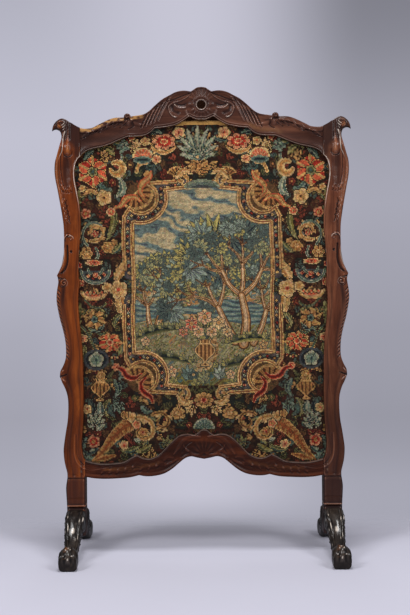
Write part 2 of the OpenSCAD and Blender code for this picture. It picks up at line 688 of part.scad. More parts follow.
module leaf_pegs() {
    color(peg_wood) for (q = concat(leaf_peg_places, stub_peg_places))
        rod_y(q[0], q[1], peg_d / 2, strainer_y, lining_y);
}

// Cloth layers, each a closed sheet
braid_low = braid_inset + braid_w;
module centre_shape() {
    difference() {
        translate([-centre_side, centre_z - centre_h / 2]) square([centre_w, centre_h]);
        for (s = [-1, 1], k = [-1, 1])
            translate([s * (centre_side - corner_in_x), centre_z + k * (centre_h / 2 - corner_in_z)])
                circle(r = centre_r);
    }
}
module interlining() {
    color(linen) slab(linen_y, strainer_y) leaf_shape(wool_inset, braid_low);
}
module needlework_border() {
    color(wool_dark) slab(wool_y, linen_y) difference() {
        leaf_shape(wool_inset, braid_low);
        centre_shape();
    }
}
module needlework_centre() {
    color(wool_blue) slab(wool_y, linen_y) centre_shape();
}
module top_braid() {
    color(gold_braid) slab(strainer_y - braid_t, strainer_y) difference() {
        leaf_shape(wool_inset, braid_inset);
        translate([0, leaf_top_z - braid_low - crown_r]) circle(r = crown_r, $fn = 360);
        translate([-far / 2, 0]) square([far, leaf_top_z - leaf_crown - braid_low]);
    }
}
module back_lining() {
    color(lining_cloth) slab(lining_y, tack_y) leaf_shape(lining_inset, lining_inset);
}
module lining_tacks() {
    color(iron) for (q = tack_places) {
        rod_y(q[0], q[1], tack_d / 2, tack_y, tack_y + tack_t);
        rod_y(q[0], q[1], shank_d / 2, lining_y - shank_l, tack_y + eps);
    }
}

// Bowed steel strips in the leaf's edges, which rub in the grooves and hold the leaf at any height
spring_bow = spring_recess - spring_t + side_gap / 2;
spring_curve = concat([[0, -0.5]], spline([[0, -0.42], [0.3, -0.3], [0.8, -0.15], [1, 0], [0.8, 0.15],
    [0.3, 0.3], [0, 0.42]]), [[0, 0.5]]);
spring_back = [for (q = spring_curve)
    [leaf_half - spring_recess + q[0] * spring_bow, spring_z + q[1] * spring_l]];
module edge_springs() {
    color(steel) for (s = [0, 1]) mirror([s, 0, 0])
        slab(lap_y - spring_w / 2, lap_y + spring_w / 2) strip(spring_back, [spring_t, 0]);
}
module spring_nails() {
    color(iron) for (s = [0, 1], k = [-1, 1]) mirror([s, 0, 0])
        translate([leaf_half - spring_recess, lap_y, spring_z + k * nail_share * spring_l])
            rotate([0, 90, 0]) {
                translate([0, 0, -shank_l]) cylinder(d = shank_d, h = shank_l + spring_t);
                translate([0, 0, spring_t]) cylinder(d = nail_head[0], h = nail_head[1]);
            }
}

left_upright();
right_upright();
top_rail_front();
top_rail_back();
bottom_rail();
left_front_foot();
left_rear_foot();
right_front_foot();
right_rear_foot();
top_rail_pegs();
bottom_rail_pegs();
foot_pegs();
leaf_left_stile();
leaf_right_stile();
leaf_top_rail();
leaf_middle_rail();
leaf_bottom_rail();
leaf_pegs();
interlining();
needlework_border();
needlework_centre();
top_braid();
back_lining();
lining_tacks();
edge_springs();
spring_nails();
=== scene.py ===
"""A walnut fire screen: two carved uprights, a carved rail above and below, scroll feet and a needlework leaf."""
import math

import bmesh
import bpy
import numpy as np
from mathutils import Matrix, Vector


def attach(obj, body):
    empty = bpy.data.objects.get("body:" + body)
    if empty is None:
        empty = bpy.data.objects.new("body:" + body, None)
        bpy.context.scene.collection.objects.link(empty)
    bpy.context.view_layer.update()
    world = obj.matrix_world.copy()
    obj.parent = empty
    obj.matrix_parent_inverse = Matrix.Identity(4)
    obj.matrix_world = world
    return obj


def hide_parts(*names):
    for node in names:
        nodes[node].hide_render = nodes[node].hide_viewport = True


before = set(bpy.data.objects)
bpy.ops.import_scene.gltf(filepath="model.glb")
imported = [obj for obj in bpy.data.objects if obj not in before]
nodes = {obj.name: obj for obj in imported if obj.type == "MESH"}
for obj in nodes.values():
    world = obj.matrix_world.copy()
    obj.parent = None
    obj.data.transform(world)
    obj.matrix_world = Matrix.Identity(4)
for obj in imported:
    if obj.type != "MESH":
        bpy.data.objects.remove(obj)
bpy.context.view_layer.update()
MM = 0.001

# Depths of the frame and the leaf, in millimetres, as in the part
FRONT, CHANNEL, SLOT_FRONT, SLOT_BACK, BACK = -21.0, -18.5, -8.0, 7.0, 21.0
WOOL_FRONT, WOOL_BACK = -7.5, -5.6
# Places across the screen
LEAF_HALF, GROOVE_X, POST_OUT, TOP_HALF, LOW_HALF, FOOT_X = 314.0, 315.0, 18.0, 294.0, 288.0, 310.5
# Heights
POST_LOW, FOOT_TOP, POST_TOP, LOW_EAR, HIGH_EAR, THROAT = 46.0, 107.0, 184.0, 430.0, 676.0, 1010.0
TOP_CORNER, RAIL_END, CREST_RISE, ARCH_RISE = 963.0, 1033.0, 97.0, 87.0
LOW_CORNER, APRON, SILL_RISE, APRON_RISE = 227.0, 187.0, 73.0, 41.0
EYE_Z, EYE_R, KNOB_X, KNOB_Z, KNOB_R = 1086.0, 10.3, 179.3, 1059.2, 8.0
LEAF_TOP, LEAF_CROWN, LEAF_LOW, LEAF_ARCH = 1050.0, 56.0, 202.0, 54.0
CENTRE_HALF, CENTRE_LOW, CENTRE_HIGH, CENTRE_R = 165.0, 405.0, 885.0, 62.0

# Outlines, as in the part: shares of a span and of a rise, or millimetres outside the groove and shares of a height
CREST = [[[0, 1], [.035, .985], [.06, .935], [.085, .888]],
         [[.085, .888], [.15, .91], [.21, .876], [.26, .8], [.32, .7], [.38, .55], [.43, .41], [.48, .325],
          [.55, .29]],
         [[.55, .29], [.63, .255], [.7, .25], [.75, .215], [.8, .15], [.86, .06], [.9, 0], [.96, -.02], [1, 0]]]
ARCH = [[[0, 1], [.03, .995], [.06, 1.03], [.1, 1.09]],
        [[.1, 1.09], [.15, .97], [.21, .86], [.28, .8], [.34, .775], [.385, .765]],
        [[.385, .765], [.41, .68], [.45, .59], [.51, .545], [.61, .535]],
        [[.61, .535], [.68, .44], [.75, .34], [.82, .265], [.9, .21], [.95, .15], [.98, .08], [1, 0]]]
SILL = [[[0, 1], [.025, .975], [.05, .89], [.083, .81]],
        [[.083, .81], [.14, .85], [.2, .81], [.26, .64], [.32, .4], [.38, .17], [.45, .045], [.51, .06],
         [.565, .165]],
        [[.565, .165], [.61, .085], [.68, -.06], [.77, -.105], [.86, -.115], [.93, -.075], [1, 0]]]
SKIRT = [[[0, 1], [.06, 1.08], [.11, 1.15], [.16, 1.05], [.21, .78], [.27, .43], [.34, .15], [.42, .02], [.49, 0],
          [.55, .07]],
         [[.55, .07], [.63, -.06], [.73, -.11], [.84, -.13], [.93, -.09], [1, 0]]]
INNER = [[-24, .006], [-21, .022], [-18.5, .055], [-21.5, .1], [-23.5, .16], [-24, .25], [-23.3, .33],
         [-21, .39], [-16.5, .45], [-13.5, .505], [-14, .55], [-17, .578], [-15.3, .605], [-14.4, .64],
         [-16, .69], [-19.5, .745], [-20.8, .785], [-18.5, .835], [-12.5, .885], [-7.6, .92], [-6.3, .95],
         [-9.5, .976], [-15, .992]]
POST_RUN = [[18, 0], [18.5, .45], [20.5, .75], [20.5, .86], [17.5, 1]]
LOW_RUN = [[17.5, 0], [17.5, .05], [21, .11], [24.5, .18], [26, .27], [24.5, .34], [20, .46], [15.5, .57],
           [13.7, .7], [15, .8], [20.5, .88], [27.5, .94], [33.5, 1]]
MIDDLE_RUN = [[33.5, 0], [32, .055], [24.5, .115], [19.5, .175], [18, .24], [19.5, .35], [25.5, .47],
              [33, .585], [38.8, .71], [40, .77], [39, .84], [35.3, .94], [38.5, 1]]
HIGH_RUN = [[38.5, 0], [33, .03], [27, .075], [23, .13], [21, .19], [21, .34], [25, .44], [30, .53], [36, .63],
            [40.5, .7], [42.2, .76], [41, .82], [36.5, .87], [30.5, .93], [26.3, .985], [25.5, 1]]
UNDER_BEAK = [[25.5, 0], [27, 10], [30, 17], [36, 20.5], [42, 21], [49, 17]]
OVER_HEAD = [[49, 17], [47.5, 27], [43.5, 36], [37, 43], [30, 47.3], [23, 48.5], [16, 46.5], [9, 42], [2, 36.5],
             [-6, 31], [-13, 27]]
FOOT_UNDER = [[0, 51], [20, 57], [36, 57], [56, 52], [76, 42], [96, 29], [116, 16], [134, 6], [146, 0]]
FOOT_OVER = [[0, 107], [14, 108], [32, 103], [50, 93], [68, 77], [88, 58], [108, 44], [126, 38], [142, 37],
             [145, 42], [152, 49], [162, 51.5], [173, 48], [181, 38], [183.4, 24]]
FOOT_PLAN = [[0, 23], [30, 23], [55, 21], [85, 18], [110, 16], [132, 16], [146, 20], [160, 21], [183.5, 21]]
LEAF_FOOT = [[0, 1], [.14, .9], [.3, .38], [.42, .06], [.55, 0], [1, 0]]


def spline(points, steps=5):
    """A smooth curve through the points, with a few steps between each pair."""
    p = np.asarray(points, float)
    p = np.vstack([p[:1], p, p[-1:]])
    t = (np.arange(steps) / steps)[:, None]
    runs = [0.5 * (2 * b + (c - a) * t + (2 * a - 5 * b + 4 * c - d) * t ** 2 + (3 * b - a - 3 * c + d) * t ** 3)
            for a, b, c, d in zip(p[:-3], p[1:-2], p[2:-1], p[3:])]
    return np.vstack(runs + [p[-1:]])


def spread(runs, span, low, rise):
    """Runs of shares as one curve in millimetres, from the middle outwards."""
    return np.vstack([spline(run) for run in runs]) * [span, rise] + [0, low]


def climb(points, low, high):
    """Distances outside the groove and shares of a height, as a curve of places."""
    return np.asarray(points, float) * [1, high - low] + [GROOVE_X, low]


crest_edge = spread(CREST, TOP_HALF, RAIL_END, CREST_RISE)
arch_edge = spread(ARCH, TOP_HALF, TOP_CORNER, ARCH_RISE)
sill_edge = spread(SILL, LOW_HALF, LOW_CORNER, SILL_RISE)
skirt_edge = spread(SKIRT, LOW_HALF, APRON, APRON_RISE)
leaf_foot_edge = spread([LEAF_FOOT], LEAF_HALF, LEAF_LOW, LEAF_ARCH)
inner_edge = spline(np.vstack([[[LOW_HALF, LOW_CORNER]], climb(INNER, LOW_CORNER, TOP_CORNER),
                               [[TOP_HALF, TOP_CORNER]]]))
outer_edge = np.vstack([spline(climb(POST_RUN, POST_LOW, POST_TOP)), spline(climb(LOW_RUN, POST_TOP, LOW_EAR)),
                        spline(climb(MIDDLE_RUN, LOW_EAR, HIGH_EAR)), spline(climb(HIGH_RUN, HIGH_EAR, THROAT))])
head_edge = np.vstack([spline(np.add(UNDER_BEAK, [GROOVE_X, THROAT])),
                       spline(np.vstack([np.add(OVER_HEAD, [GROOVE_X, THROAT]), [[TOP_HALF, RAIL_END]]]))])


def smooth(low, high, value):
    """0 below low, 1 above high and an easy slope between."""
    t = np.clip((value - low) / (high - low), 0, 1)
    return t * t * (3 - 2 * t)


def along(widths, share):
    """A width that changes along a path."""
    widths = np.atleast_1d(widths).astype(float)
    return np.interp(share, np.linspace(0, 1, len(widths)), widths)


def measure(x, z, path):
    """Distance of each place from a path, the share along it and the side."""
    steps = np.diff(path, axis=0)
    lengths = np.hypot(*steps.T)
    starts = np.concatenate([[0], np.cumsum(lengths)])
    best = np.full(x.shape, 1e12)
    share = np.zeros(x.shape)
    side = np.zeros(x.shape)
    for start, step, length, before in zip(path[:-1], steps, lengths, starts):
        if length == 0:
            continue
        t = np.clip(((x - start[0]) * step[0] + (z - start[1]) * step[1]) / length ** 2, 0, 1)
        dx = x - start[0] - t * step[0]
        dz = z - start[1] - t * step[1]
        d = dx * dx + dz * dz
        near = d < best
        best[near] = d[near]
        share[near] = (before + t[near] * length) / starts[-1]
        side[near] = np.sign(step[0] * dz - step[1] * dx)[near]
    return np.sqrt(best), share, side


def within(x, z, path):
    """Whether each place is inside a closed path."""
    inside = np.zeros(x.shape, bool)
    for a, b in zip(path, np.roll(path, -1, axis=0)):
        if a[1] == b[1]:
            continue
        crosses = (a[1] > z) != (b[1] > z)
        inside ^= crosses & (x < (b[0] - a[0]) * (z - a[1]) / (b[1] - a[1]) + a[0])
    return inside


def spiral(centre, radius, turns, start, hand=1, end_radius=1.5, points=40):
    """A path that winds in from a radius to a small one. Start is its first angle, in degrees."""
    t = np.linspace(0, 1, points)
    angle = np.radians(start) + hand * turns * 2 * np.pi * t
    r = radius + (end_radius - radius) * t ** 0.8
    return np.column_stack([centre[0] + r * np.cos(angle), centre[1] + r * np.sin(angle)])


class Places:
    """A patch of places across and up, in millimetres."""

    def __init__(self, x, z):
        self.x, self.z = x, z

    def near(self, path, reach):
        """The places within reach of a path's box."""
        low = np.min(path, axis=0) - reach
        high = np.max(path, axis=0) + reach
        return (self.x > low[0]) & (self.x < high[0]) & (self.z > low[1]) & (self.z < high[1])


class Carving(Places):
    """Heights over a patch of places, in millimetres, that strokes raise and cut, how its finish has aged, and the
    light, shade and highlights painted on it.
    """

    def __init__(self, x, z):
        super().__init__(x, z)
        self.height = np.zeros(x.shape)
        self.age = np.zeros(x.shape)
        self.rub = np.zeros(x.shape)

    def stroke(self, values, path, width, amount):
        """Adds a soft-edged stroke along a path to some values."""
        near = self.near(path, np.max(width))
        d, share, side = measure(self.x[near], self.z[near], path)
        q = np.clip(d / np.maximum(along(width, share), 0.05), 0, 1)
        values[near] += along(amount, share) * (1 - q * q) ** 2

    def ridge(self, points, width, height):
        """Raises a rounded ridge along a curve, or cuts a groove where height is below 0."""
        self.stroke(self.height, spline(points), width, height)

    def stain(self, points, width, amount):
        """Wears the finish to pale gold along a curve, or blackens it where the amount is below 0; strokes also use it
        for painted light and painted shade.
        """
        self.stroke(self.age, spline(points), width, amount)

    def gleam(self, points, width, amount):
        """Paints a highlight along a curve: a pale colour and a fuller coat."""
        self.stroke(self.rub, spline(points), width, amount)

    def roll(self, points, width, height):
        """A raised roll with a soft hollow on both sides."""
        self.ridge(points, np.multiply(width, 2.0), -0.5 * np.asarray(height))
        self.ridge(points, width, np.multiply(height, 1.5))

    def volute(self, centre, radius, turns, start, hand, width=2.0, height=1.4):
        """A small scroll with a round heart."""
        self.roll(spiral(centre, radius, turns, start, hand, points=12), width, height)

    def knob(self, place, radius, height):
        """A round boss, or a round hollow where height is below 0."""
        self.ridge([place, np.add(place, [0.1, 0])], radius, height)

    def marks(self):
        """How far each place stands above its surroundings, from -1 to 1, its age with its painted light and shade, and
        its painted highlight.
        """
        mean = self.height
        for axis, reach in ((0, 6), (1, 5)):
            pad = [(0, 0), (0, 0)]
            pad[axis] = (reach, reach)
            wide = np.pad(mean, pad, mode="edge")
            size = mean.shape[axis]
            mean = sum(np.take(wide, range(k, k + size), axis=axis) for k in range(2 * reach + 1)) / (2 * reach + 1)
        return np.clip(np.stack([(self.height - mean) / 1.3, self.age, self.rub], axis=2), -1, 1)


def grid_normals(loops):
    """Outward-ish directions of a grid of points that is closed along its second side."""
    down = np.gradient(loops, axis=0)
    wrapped = np.concatenate([loops[:, -1:], loops, loops[:, :1]], axis=1)
    across = (wrapped[:, 2:] - wrapped[:, :-2]) / 2
    n = np.cross(down, across)
    return n / np.maximum(np.linalg.norm(n, axis=2, keepdims=True), 1e-9)


def skin(bm, loops, marks):
    """Adds a closed skin through rows of loops, in millimetres, with its two ends filled."""
    rows, count = loops.shape[:2]
    layers = mark_layers(bm)
    made = bmesh.ops.create_grid(bm, x_segments=count, y_segments=rows - 1, size=1)["verts"]
    places = np.concatenate([loops, loops[:, :1]], axis=1).reshape(-1, 3) * MM
    marks = np.pad(marks, ((0, 0), (0, count - marks.shape[1]), (0, 0)), mode="edge")
    marks = np.concatenate([marks, marks[:, :1]], axis=1).reshape(-1, marks.shape[2])
    for vert, place, values in zip(made, places.tolist(), marks.tolist()):
        vert.co = place
        for layer, value in zip(layers, values):
            vert[layer] = value
    bmesh.ops.remove_doubles(bm, verts=made, dist=1e-6)
    made = [vert for vert in made if vert.is_valid]
    edges = {edge for vert in made for edge in vert.link_edges if edge.is_boundary}
    filled = bmesh.ops.holes_fill(bm, edges=list(edges), sides=0)["faces"]
    bmesh.ops.triangulate(bm, faces=filled)


def mark_layers(bm):
    """The layers that hold how high a place stands, how it has aged with its painted light and shade, and its painted
    highlight.
    """
    layers = bm.verts.layers.float
    return [layers.get(name) or layers.new(name) for name in ("tone", "age", "rub")]


def finish(bm, name, sharp=50):
    """Turns a bmesh in metres into a shown object with smooth shading and crisp corners."""
    bmesh.ops.recalc_face_normals(bm, faces=bm.faces)
    mesh = bpy.data.meshes.new(name)
    bm.to_mesh(mesh)
    bm.free()
    mesh.polygons.foreach_set("use_smooth", np.ones(len(mesh.polygons), bool))
    mesh.set_sharp_from_angle(angle=math.radians(sharp))
    piece = bpy.data.objects.new(name, mesh)
    bpy.context.scene.collection.objects.link(piece)
    return piece


def dress(piece, body, slot, material, *stands_for):
    """Gives a new piece its body and its material, and hides the nodes that it stands for. The slot is not used."""
    piece.data.materials.clear()
    piece.data.materials.append(material)
    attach(piece, body)
    if stands_for:
        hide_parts(*stands_for)


def bead(distance, centre, half, height):
    """The height of a half-round moulding at a distance from an edge."""
    return height * np.sqrt(np.clip(1 - ((distance - centre) / half) ** 2, 0, 1))


def shares(count):
    """Places from 0 to 1, closer together towards both ends."""
    s = np.linspace(0, 1, count)
    return 0.65 * s + 0.35 * (0.5 - 0.5 * np.cos(np.pi * s))


def ring_of(parts):
    """Joins the columns of a loop, each an (u, v, w) of arrays or numbers, into rows x points x 3."""
    parts = [[np.asarray(value, float) for value in part] for part in parts]
    rows = max(value.shape[0] for part in parts for value in part if value.ndim)
    columns = []
    for part in parts:
        wide = max(value.shape[1] if value.ndim == 2 else 1 for value in part)
        columns.append(np.stack([np.broadcast_to(value[:, None] if value.ndim == 1 else value, (rows, wide))
                                 for value in part], axis=2))
    return np.concatenate(columns, axis=1)


# Carving of an upright, for the right one
UPRIGHT_TOP, UPRIGHT_PITCH, UPRIGHT_COLUMNS = 1046.0, 1.15, 54
# Its section below and above the upper ear: shares across from the opening's edge, and heights
LOW_SECTION = [[0, .1], [.045, 1.7], [.095, .2], [.2, -.5], [.34, .7], [.47, .9], [.6, -.5], [.7, -.6], [.83, 1.7],
               [.93, 1.9], [1, .2]]
HIGH_SECTION = [[0, .1], [.045, 1.7], [.1, .1], [.15, .5], [.22, .1], [.3, .5], [.42, .4], [.6, .5], [.76, -.5],
                [.87, 1.2], [.95, 1.4], [1, .2]]


def carve_upright(c, inner, outer):
    """Cuts the mouldings, scrolls, tongue and neck of an upright into its front, and paints its finish, its painted
    highlights and its painted shade.
    """
    a, b, w = c.x - inner, outer - c.x, outer - inner
    z, share = c.z, (c.x - inner) / w
    shaft = smooth(POST_TOP, POST_TOP + 9, z)
    low, shoulder = 1 - smooth(620, 690, z), smooth(900, 975, z)
    c.height += shaft * (1 - shoulder) * (low * np.interp(share, *spline(LOW_SECTION).T)
                                          + (1 - low) * np.interp(share, *spline(HIGH_SECTION).T))
    c.height += shoulder * (1 - smooth(985, 1000, z)) * bead(a, 1.3, 1.3, 1.6) + 0.6 * smooth(965, 980, z)
    # The neck, round and narrow under the head, and the bright roll that runs down from it
    middle = np.interp(z, [925, 985, 1020], [338, 337, 332])
    half = np.interp(z, [925, 985, 1020], [22, 15, 12])
    c.height += smooth(930, 1000, z) * 4.6 * np.sqrt(np.clip(1 - ((c.x - middle) / half) ** 2, 0, 1))
    c.ridge([(335, 1022), (339, 1000), (346, 975), (351, 952), (352, 925), (350, 900), (345, 878), (340, 850)],
            [2.5, 3.4, 4.6, 6, 7, 6.4, 5, 2], [1.4, 1.8, 2.2, 2.6, 2.8, 2.4, 1.6, 0.4])
    c.ridge([(338, 985), (341, 958), (341, 930), (337, 900), (330, 880)], [1.6, 2.2, 2.2, 2.2, 1.6], -1.7)
    # The small tongue, and the long dark hollow under it with its scalloped end
    c.ridge([(325, 1012), (324, 990), (324, 974)], [5, 9, 8.5], [0.6, 2.4, 2.8])
    c.ridge(arc((324, 974), (10.5, 12), 170, 370, 12), [1, 2.2, 2.2, 1], -1.8)
    c.ridge([(328, 960), (330, 935), (329, 908), (326, 888)], [12, 15, 14, 9], [-1.6, -2.8, -2.6, -1.2])
    for k in range(4):
        c.ridge([(339 - 6 * k, 893 - 4 * k + k * k), (336 - 6 * k, 885 - 3 * k + k * k)], [3.4, 3.0], 0.8)
        c.ridge([(337 - 6 * k, 880 - 3 * k + k * k), (334 - 6 * k, 877 - 3 * k + k * k)], 2.2, -1.3)
    # A husk of four feathers, with painted highlights on the feathers and painted shade in the cuts between them
    for k in range(4):
        root = np.array([333.0 - 2.5 * k, 860.0 - 13 * k])
        c.ridge([root, root + [4, -8], root + [1, -18]], [1.2, 2.8, 1.0], 1.7)
        c.gleam([root + [1, -2], root + [4.5, -8], root + [2, -16]], 1.1, 0.25)
        cut = [root + [-5, -2], root + [-3, -10], root + [-6, -20]]
        c.ridge(cut, [1.0, 2.2, 1.0], -1.7)
        c.stain(cut, [1, 2.6, 1], -1)
    # The hook above the candle-arm hole, and the scroll that runs from it out to the ear's tip, with painted shade
    # round the hook, in the hole, in the crease under the ear's tip and round the volute
    c.volute((319, 765), 5.5, 0.9, 60, 1, 2.2, 1.7)
    c.roll([(318, 771), (325, 774), (332, 769), (335.5, 757), (335, 744)], [1.8, 2.6, 2.6, 2.4, 1.6], 1.9)
    c.stain(arc((325, 762), (7.5, 8), -30, 150, 8), 2.2, -1.1)
    c.knob((318, 733), 3.6, -3)
    c.stain([(318, 734), (318, 732)], 4, -2.5)
    c.ridge([(327, 748), (326, 726), (327, 706), (333, 690), (342, 681)], [2, 3, 3.4, 3, 2], -1.8)
    c.ridge([(335, 744), (332.5, 728), (333, 710), (338, 695), (346, 684), (353, 678)],
            [2.2, 4.0, 5.4, 5.4, 4.4, 3.2], [1.2, 2.4, 3.0, 3.0, 2.6, 2.0])
    c.knob((353, 677), 4.6, 2.2)
    c.ridge([(341, 668), (348, 669), (355, 670)], [1.4, 2.4, 2], -1.8)
    c.stain([(340, 667), (347, 669), (351, 670)], [2, 3.4, 3], -1.3)
    c.volute((336, 657), 8.5, 1.1, 100, -1, 2.8, 1.9)
    c.stain(arc((337, 656), 10, -80, 130, 10), [1.6, 3, 1.6], -0.9)
    # Slanting gouges on the outer edge below the ear, each with painted shade in it
    for k in range(18):
        top = 642 - 9.5 * k
        edge = float(np.interp(top, outer_edge[:, 1], outer_edge[:, 0]))
        gouge = [(edge - 0.5, top), (edge - 5, top - 4), (edge - 8, top - 9)]
        c.ridge(gouge, [3.2, 2.8, 1.2], -1.5)
        c.stain([(edge - 4.2, top - 3), (edge - 9, top - 9)], [2.2, 1], -0.9)
    # The lower ear: a nub over a deep crease, and the lip under it
    c.knob((351, 437), 5, 2.4)
    c.ridge([(338, 446), (345, 440), (352, 436)], [2, 3.4, 4], 1.4)
    c.ridge([(330, 436), (341, 432), (353, 431)], [1.2, 2.4, 2.2], -2.2)
    c.ridge([(334, 418), (344, 425), (353, 426)], [2, 3.6, 3], 1.4)
    # The corner moulding that runs on into the apron
    c.ridge([(309, 290), (309, 250), (304, 231), (294, 218), (284, 212)], [1, 2.4, 2.6, 2.6, 2.4], -1.1)
    c.ridge([(314, 290), (314, 248), (309, 226), (298, 211), (284, 205)], [1, 2.6, 3, 3, 2.6], 1.2)
    # The post: a flat front with rounded corners, and a dark collar above the feet
    post = 1 - shaft
    c.height += post * (1.9 - 3.0 * (1 - smooth(0, 7, a)) ** 2 - 3.0 * (1 - smooth(0, 7, b)) ** 2)
    c.height -= 1.8 * np.exp(-((z - POST_TOP) / 1.6) ** 2) + 0.7 * np.exp(-((z - 136) / 0.9) ** 2)
    c.height += 2.6 * np.exp(-((z - 117.5) / 1.8) ** 2) - 2.0 * np.exp(-((z - 111.5) / 2.6) ** 2)
    # The finish darker under the neck, beside the rail and down the posts, black in the collar, and painted highlights
    # along the opening's bead and the collar's bead
    c.age += -0.8 * smooth(980, 1012, z) - 0.5 * shoulder * smooth(26, 8, a)
    c.age -= 0.25 * smooth(925, 985, z) * smooth(48, 36, a)
    c.age -= 1.6 * smooth(123, 120.5, z) + 0.65 * post + 0.3 * post * smooth(6, 1, np.minimum(a, b))
    c.rub += 0.75 * np.exp(-((a - 1.5) / 1.1) ** 2) * smooth(790, 900, z) * (1 - smooth(960, 985, z))
    c.rub += 0.22 * np.exp(-((z - 117.5) / 1.3) ** 2)
    # Painted shade in the two hollows of the lower shaft, and a painted highlight on the swells between them
    painted_relief_shading = 0.15 * np.exp(-((share - 0.47) / 0.1) ** 2) + 0.1 * np.exp(-((share - 0.86) / 0.06) ** 2)
    painted_relief_shading -= 0.5 * np.exp(-((share - 0.2) / 0.06) ** 2) + 0.4 * np.exp(-((share - 0.67) / 0.08) ** 2)
    c.age += shaft * low * (painted_relief_shading - 0.1)
    # Gold on the tongue; painted highlights on the neck, the tongue's tip, the hook, the scroll, the volute and the
    # lower ear; painted shade in the long hollow, the grooves and the crease under the lower ear, and darker below the
    # volute and above the lower ear; painted light on the outer roll and on the outer edge by the scroll
    c.stain([(324, 1004), (324, 968)], [8, 11], 0.8)
    c.gleam([(331, 1024), (334, 1014), (335.5, 1002), (336, 990), (338, 976), (344, 963), (349, 948), (350, 928)],
            [2, 1.8, 1.6, 1.8, 1.6, 1.6, 1.6, 1.6], [0.9, 0.5, 0.7, 0.75, 0.6, 0.25, 0.15, 0])
    c.gleam(arc((323, 972), 8, 200, 300, 8), 1.2, 0.3)
    c.gleam(arc((319, 765), 6.5, 40, 180, 8), 1.5, 0.5)
    c.gleam([(328, 773), (334, 765), (336, 750)], 1.4, 0.4)
    c.gleam([(336, 742), (334.5, 726), (337, 710), (342, 697), (351, 683)], [1.4, 2, 2.2, 2, 1.8], 0.5)
    c.gleam(arc((336, 657), 9, 80, 220, 10), 1.4, 0.35)
    c.gleam([(347, 441), (353, 438)], 2, 0.35)
    c.stain([(328, 964), (330, 930), (327, 890)], [15, 18, 13], -0.65)
    c.stain([(343, 985), (351, 945), (349, 900), (340, 850)], [6, 9, 8, 5], 0.3)
    c.stain([(340, 838), (337, 780)], 4, -0.8)
    c.stain([(327, 748), (326, 726), (327, 706), (333, 690), (342, 681)], 4, -1.1)
    c.stain([(336, 655), (343, 600), (334, 540)], [9, 9, 4], -0.55)
    c.stain([(346, 470), (353, 442)], [4, 6], -0.8)
    c.stain([(334, 436), (342, 432), (350, 430.5)], [3, 4, 3], -1.2)
    c.stain([(356, 720), (350, 692)], 5, 0.4)
    return c


def upright(side):
    """One carved upright with its bird's head. Side is 1 for the right one and -1 for the left one."""
    z = np.arange(POST_LOW, UPRIGHT_TOP, UPRIGHT_PITCH)
    inner = np.interp(z, inner_edge[:, 1], inner_edge[:, 0])
    inner = np.where(z > RAIL_END, np.interp(z, [RAIL_END, 1037, 1041, 1046.5], [294, 302, 309, 317]), inner)
    outer = np.where(z > THROAT, np.interp(z, [THROAT, 1017, 1028, UPRIGHT_TOP], [340.5, 339.5, 335, 326]),
                     np.interp(z, *outer_edge[:, ::-1].T))
    across = shares(UPRIGHT_COLUMNS)[None, :]
    x = inner[:, None] + 0.8 + (outer - inner - 2.2)[:, None] * across
    heights = np.broadcast_to(z[:, None], x.shape)
    carving = carve_upright(Carving(x, heights), inner[:, None], outer[:, None])
    slot = np.maximum(inner + 0.9, np.where(z > LEAF_LOW - 0.3, GROOVE_X, 0))
    loops = ring_of([
        (x, CHANNEL - carving.height, heights),
        (outer - 0.4, -15.8, z), (outer, -12, z), (outer, -4, z), (outer, 4, z), (outer, 12, z),
        (outer - 0.3, 17, z), (outer - 1.5, 19.7, z), (outer - 3.8, BACK, z),
        (0.65 * outer + 0.35 * inner, BACK, z), (0.35 * outer + 0.65 * inner, BACK, z),
        (inner + 2.2, BACK, z), (inner + 0.6, 20.3, z), (inner, 18.6, z), (inner, 13, z), (inner, 7.5, z),
        (inner + 0.6, SLOT_BACK, z), (slot, SLOT_BACK, z), (slot, 0, z), (slot, SLOT_FRONT, z),
        (inner + 0.6, SLOT_FRONT, z), (inner, -8.6, z), (inner, -13, z), (inner, -16.6, z)])
    thin = 1 - 0.3 * smooth(984, 1008, loops[..., 2]) * smooth(GROOVE_X + 1, GROOVE_X + 14, loops[..., 0])
    loops[..., 1] *= thin
    bm = bmesh.new()
    skin(bm, loops * [side, 1, 1], carving.marks())
    bird_head(bm, side)
    return finish(bm, "left_upright_carved" if side < 0 else "right_upright_carved")


# The bird's head, blown up from its outline as far in as the groove
HEAD_PITCH, HEAD_DEPTH, HEAD_IN, HEAD_LOW = 0.8, 15.5, GROOVE_X + 1, 1000.0


def carve_head(c):
    """Cuts the beak, the face, the brow and the nape's feathers of a bird's head, with painted highlights on the
    feathers, the brow and the face.
    """
    c.ridge([(363, 1027), (357, 1031), (350, 1031.5), (345, 1029)], [0.8, 1.4, 1.4, 0.8], -1.7)
    c.ridge([(353, 1049), (350.5, 1042), (351.5, 1034)], 1.8, -1.3)
    c.ridge([(356, 1041), (359.5, 1036), (361, 1030)], [2.4, 2.6, 1.4], 1.2)
    c.ridge([(350, 1045), (344, 1049), (337, 1049)], [1.6, 2.8, 1.8], 1.7)
    c.knob((344.5, 1042.5), 4.2, -1.6)
    c.knob((344.5, 1042.5), 2.2, 2.3)
    for k in range(7):
        root = np.array([339.0 - 1.9 * k, 1037.0 - 5.5 * k])
        c.ridge([root, root + [-5, 4], root + [-10, 11]], [1.4, 1.6, 0.8], -1.4)
        c.ridge([root, root + [3.5, 3], root + [6, 8]], [1.4, 1.4, 0.8], -1.2)
        c.gleam([root + [0, 2.6], root + [-5, 6.5], root + [-9, 12]], [1.3, 1.5, 0.8], [0.9, 0.8, 0.2])
    c.gleam([(353, 1044), (347, 1050), (338, 1052)], 1.5, 0.3)
    c.gleam([(350, 1038), (346, 1033)], 1.6, 0.3)
    c.age -= 0.9
    c.stain([(363, 1026), (359, 1036), (353, 1045)], [8, 9, 7], -2)
    c.stain([(348, 1041), (342, 1037)], 7.5, 1.5)


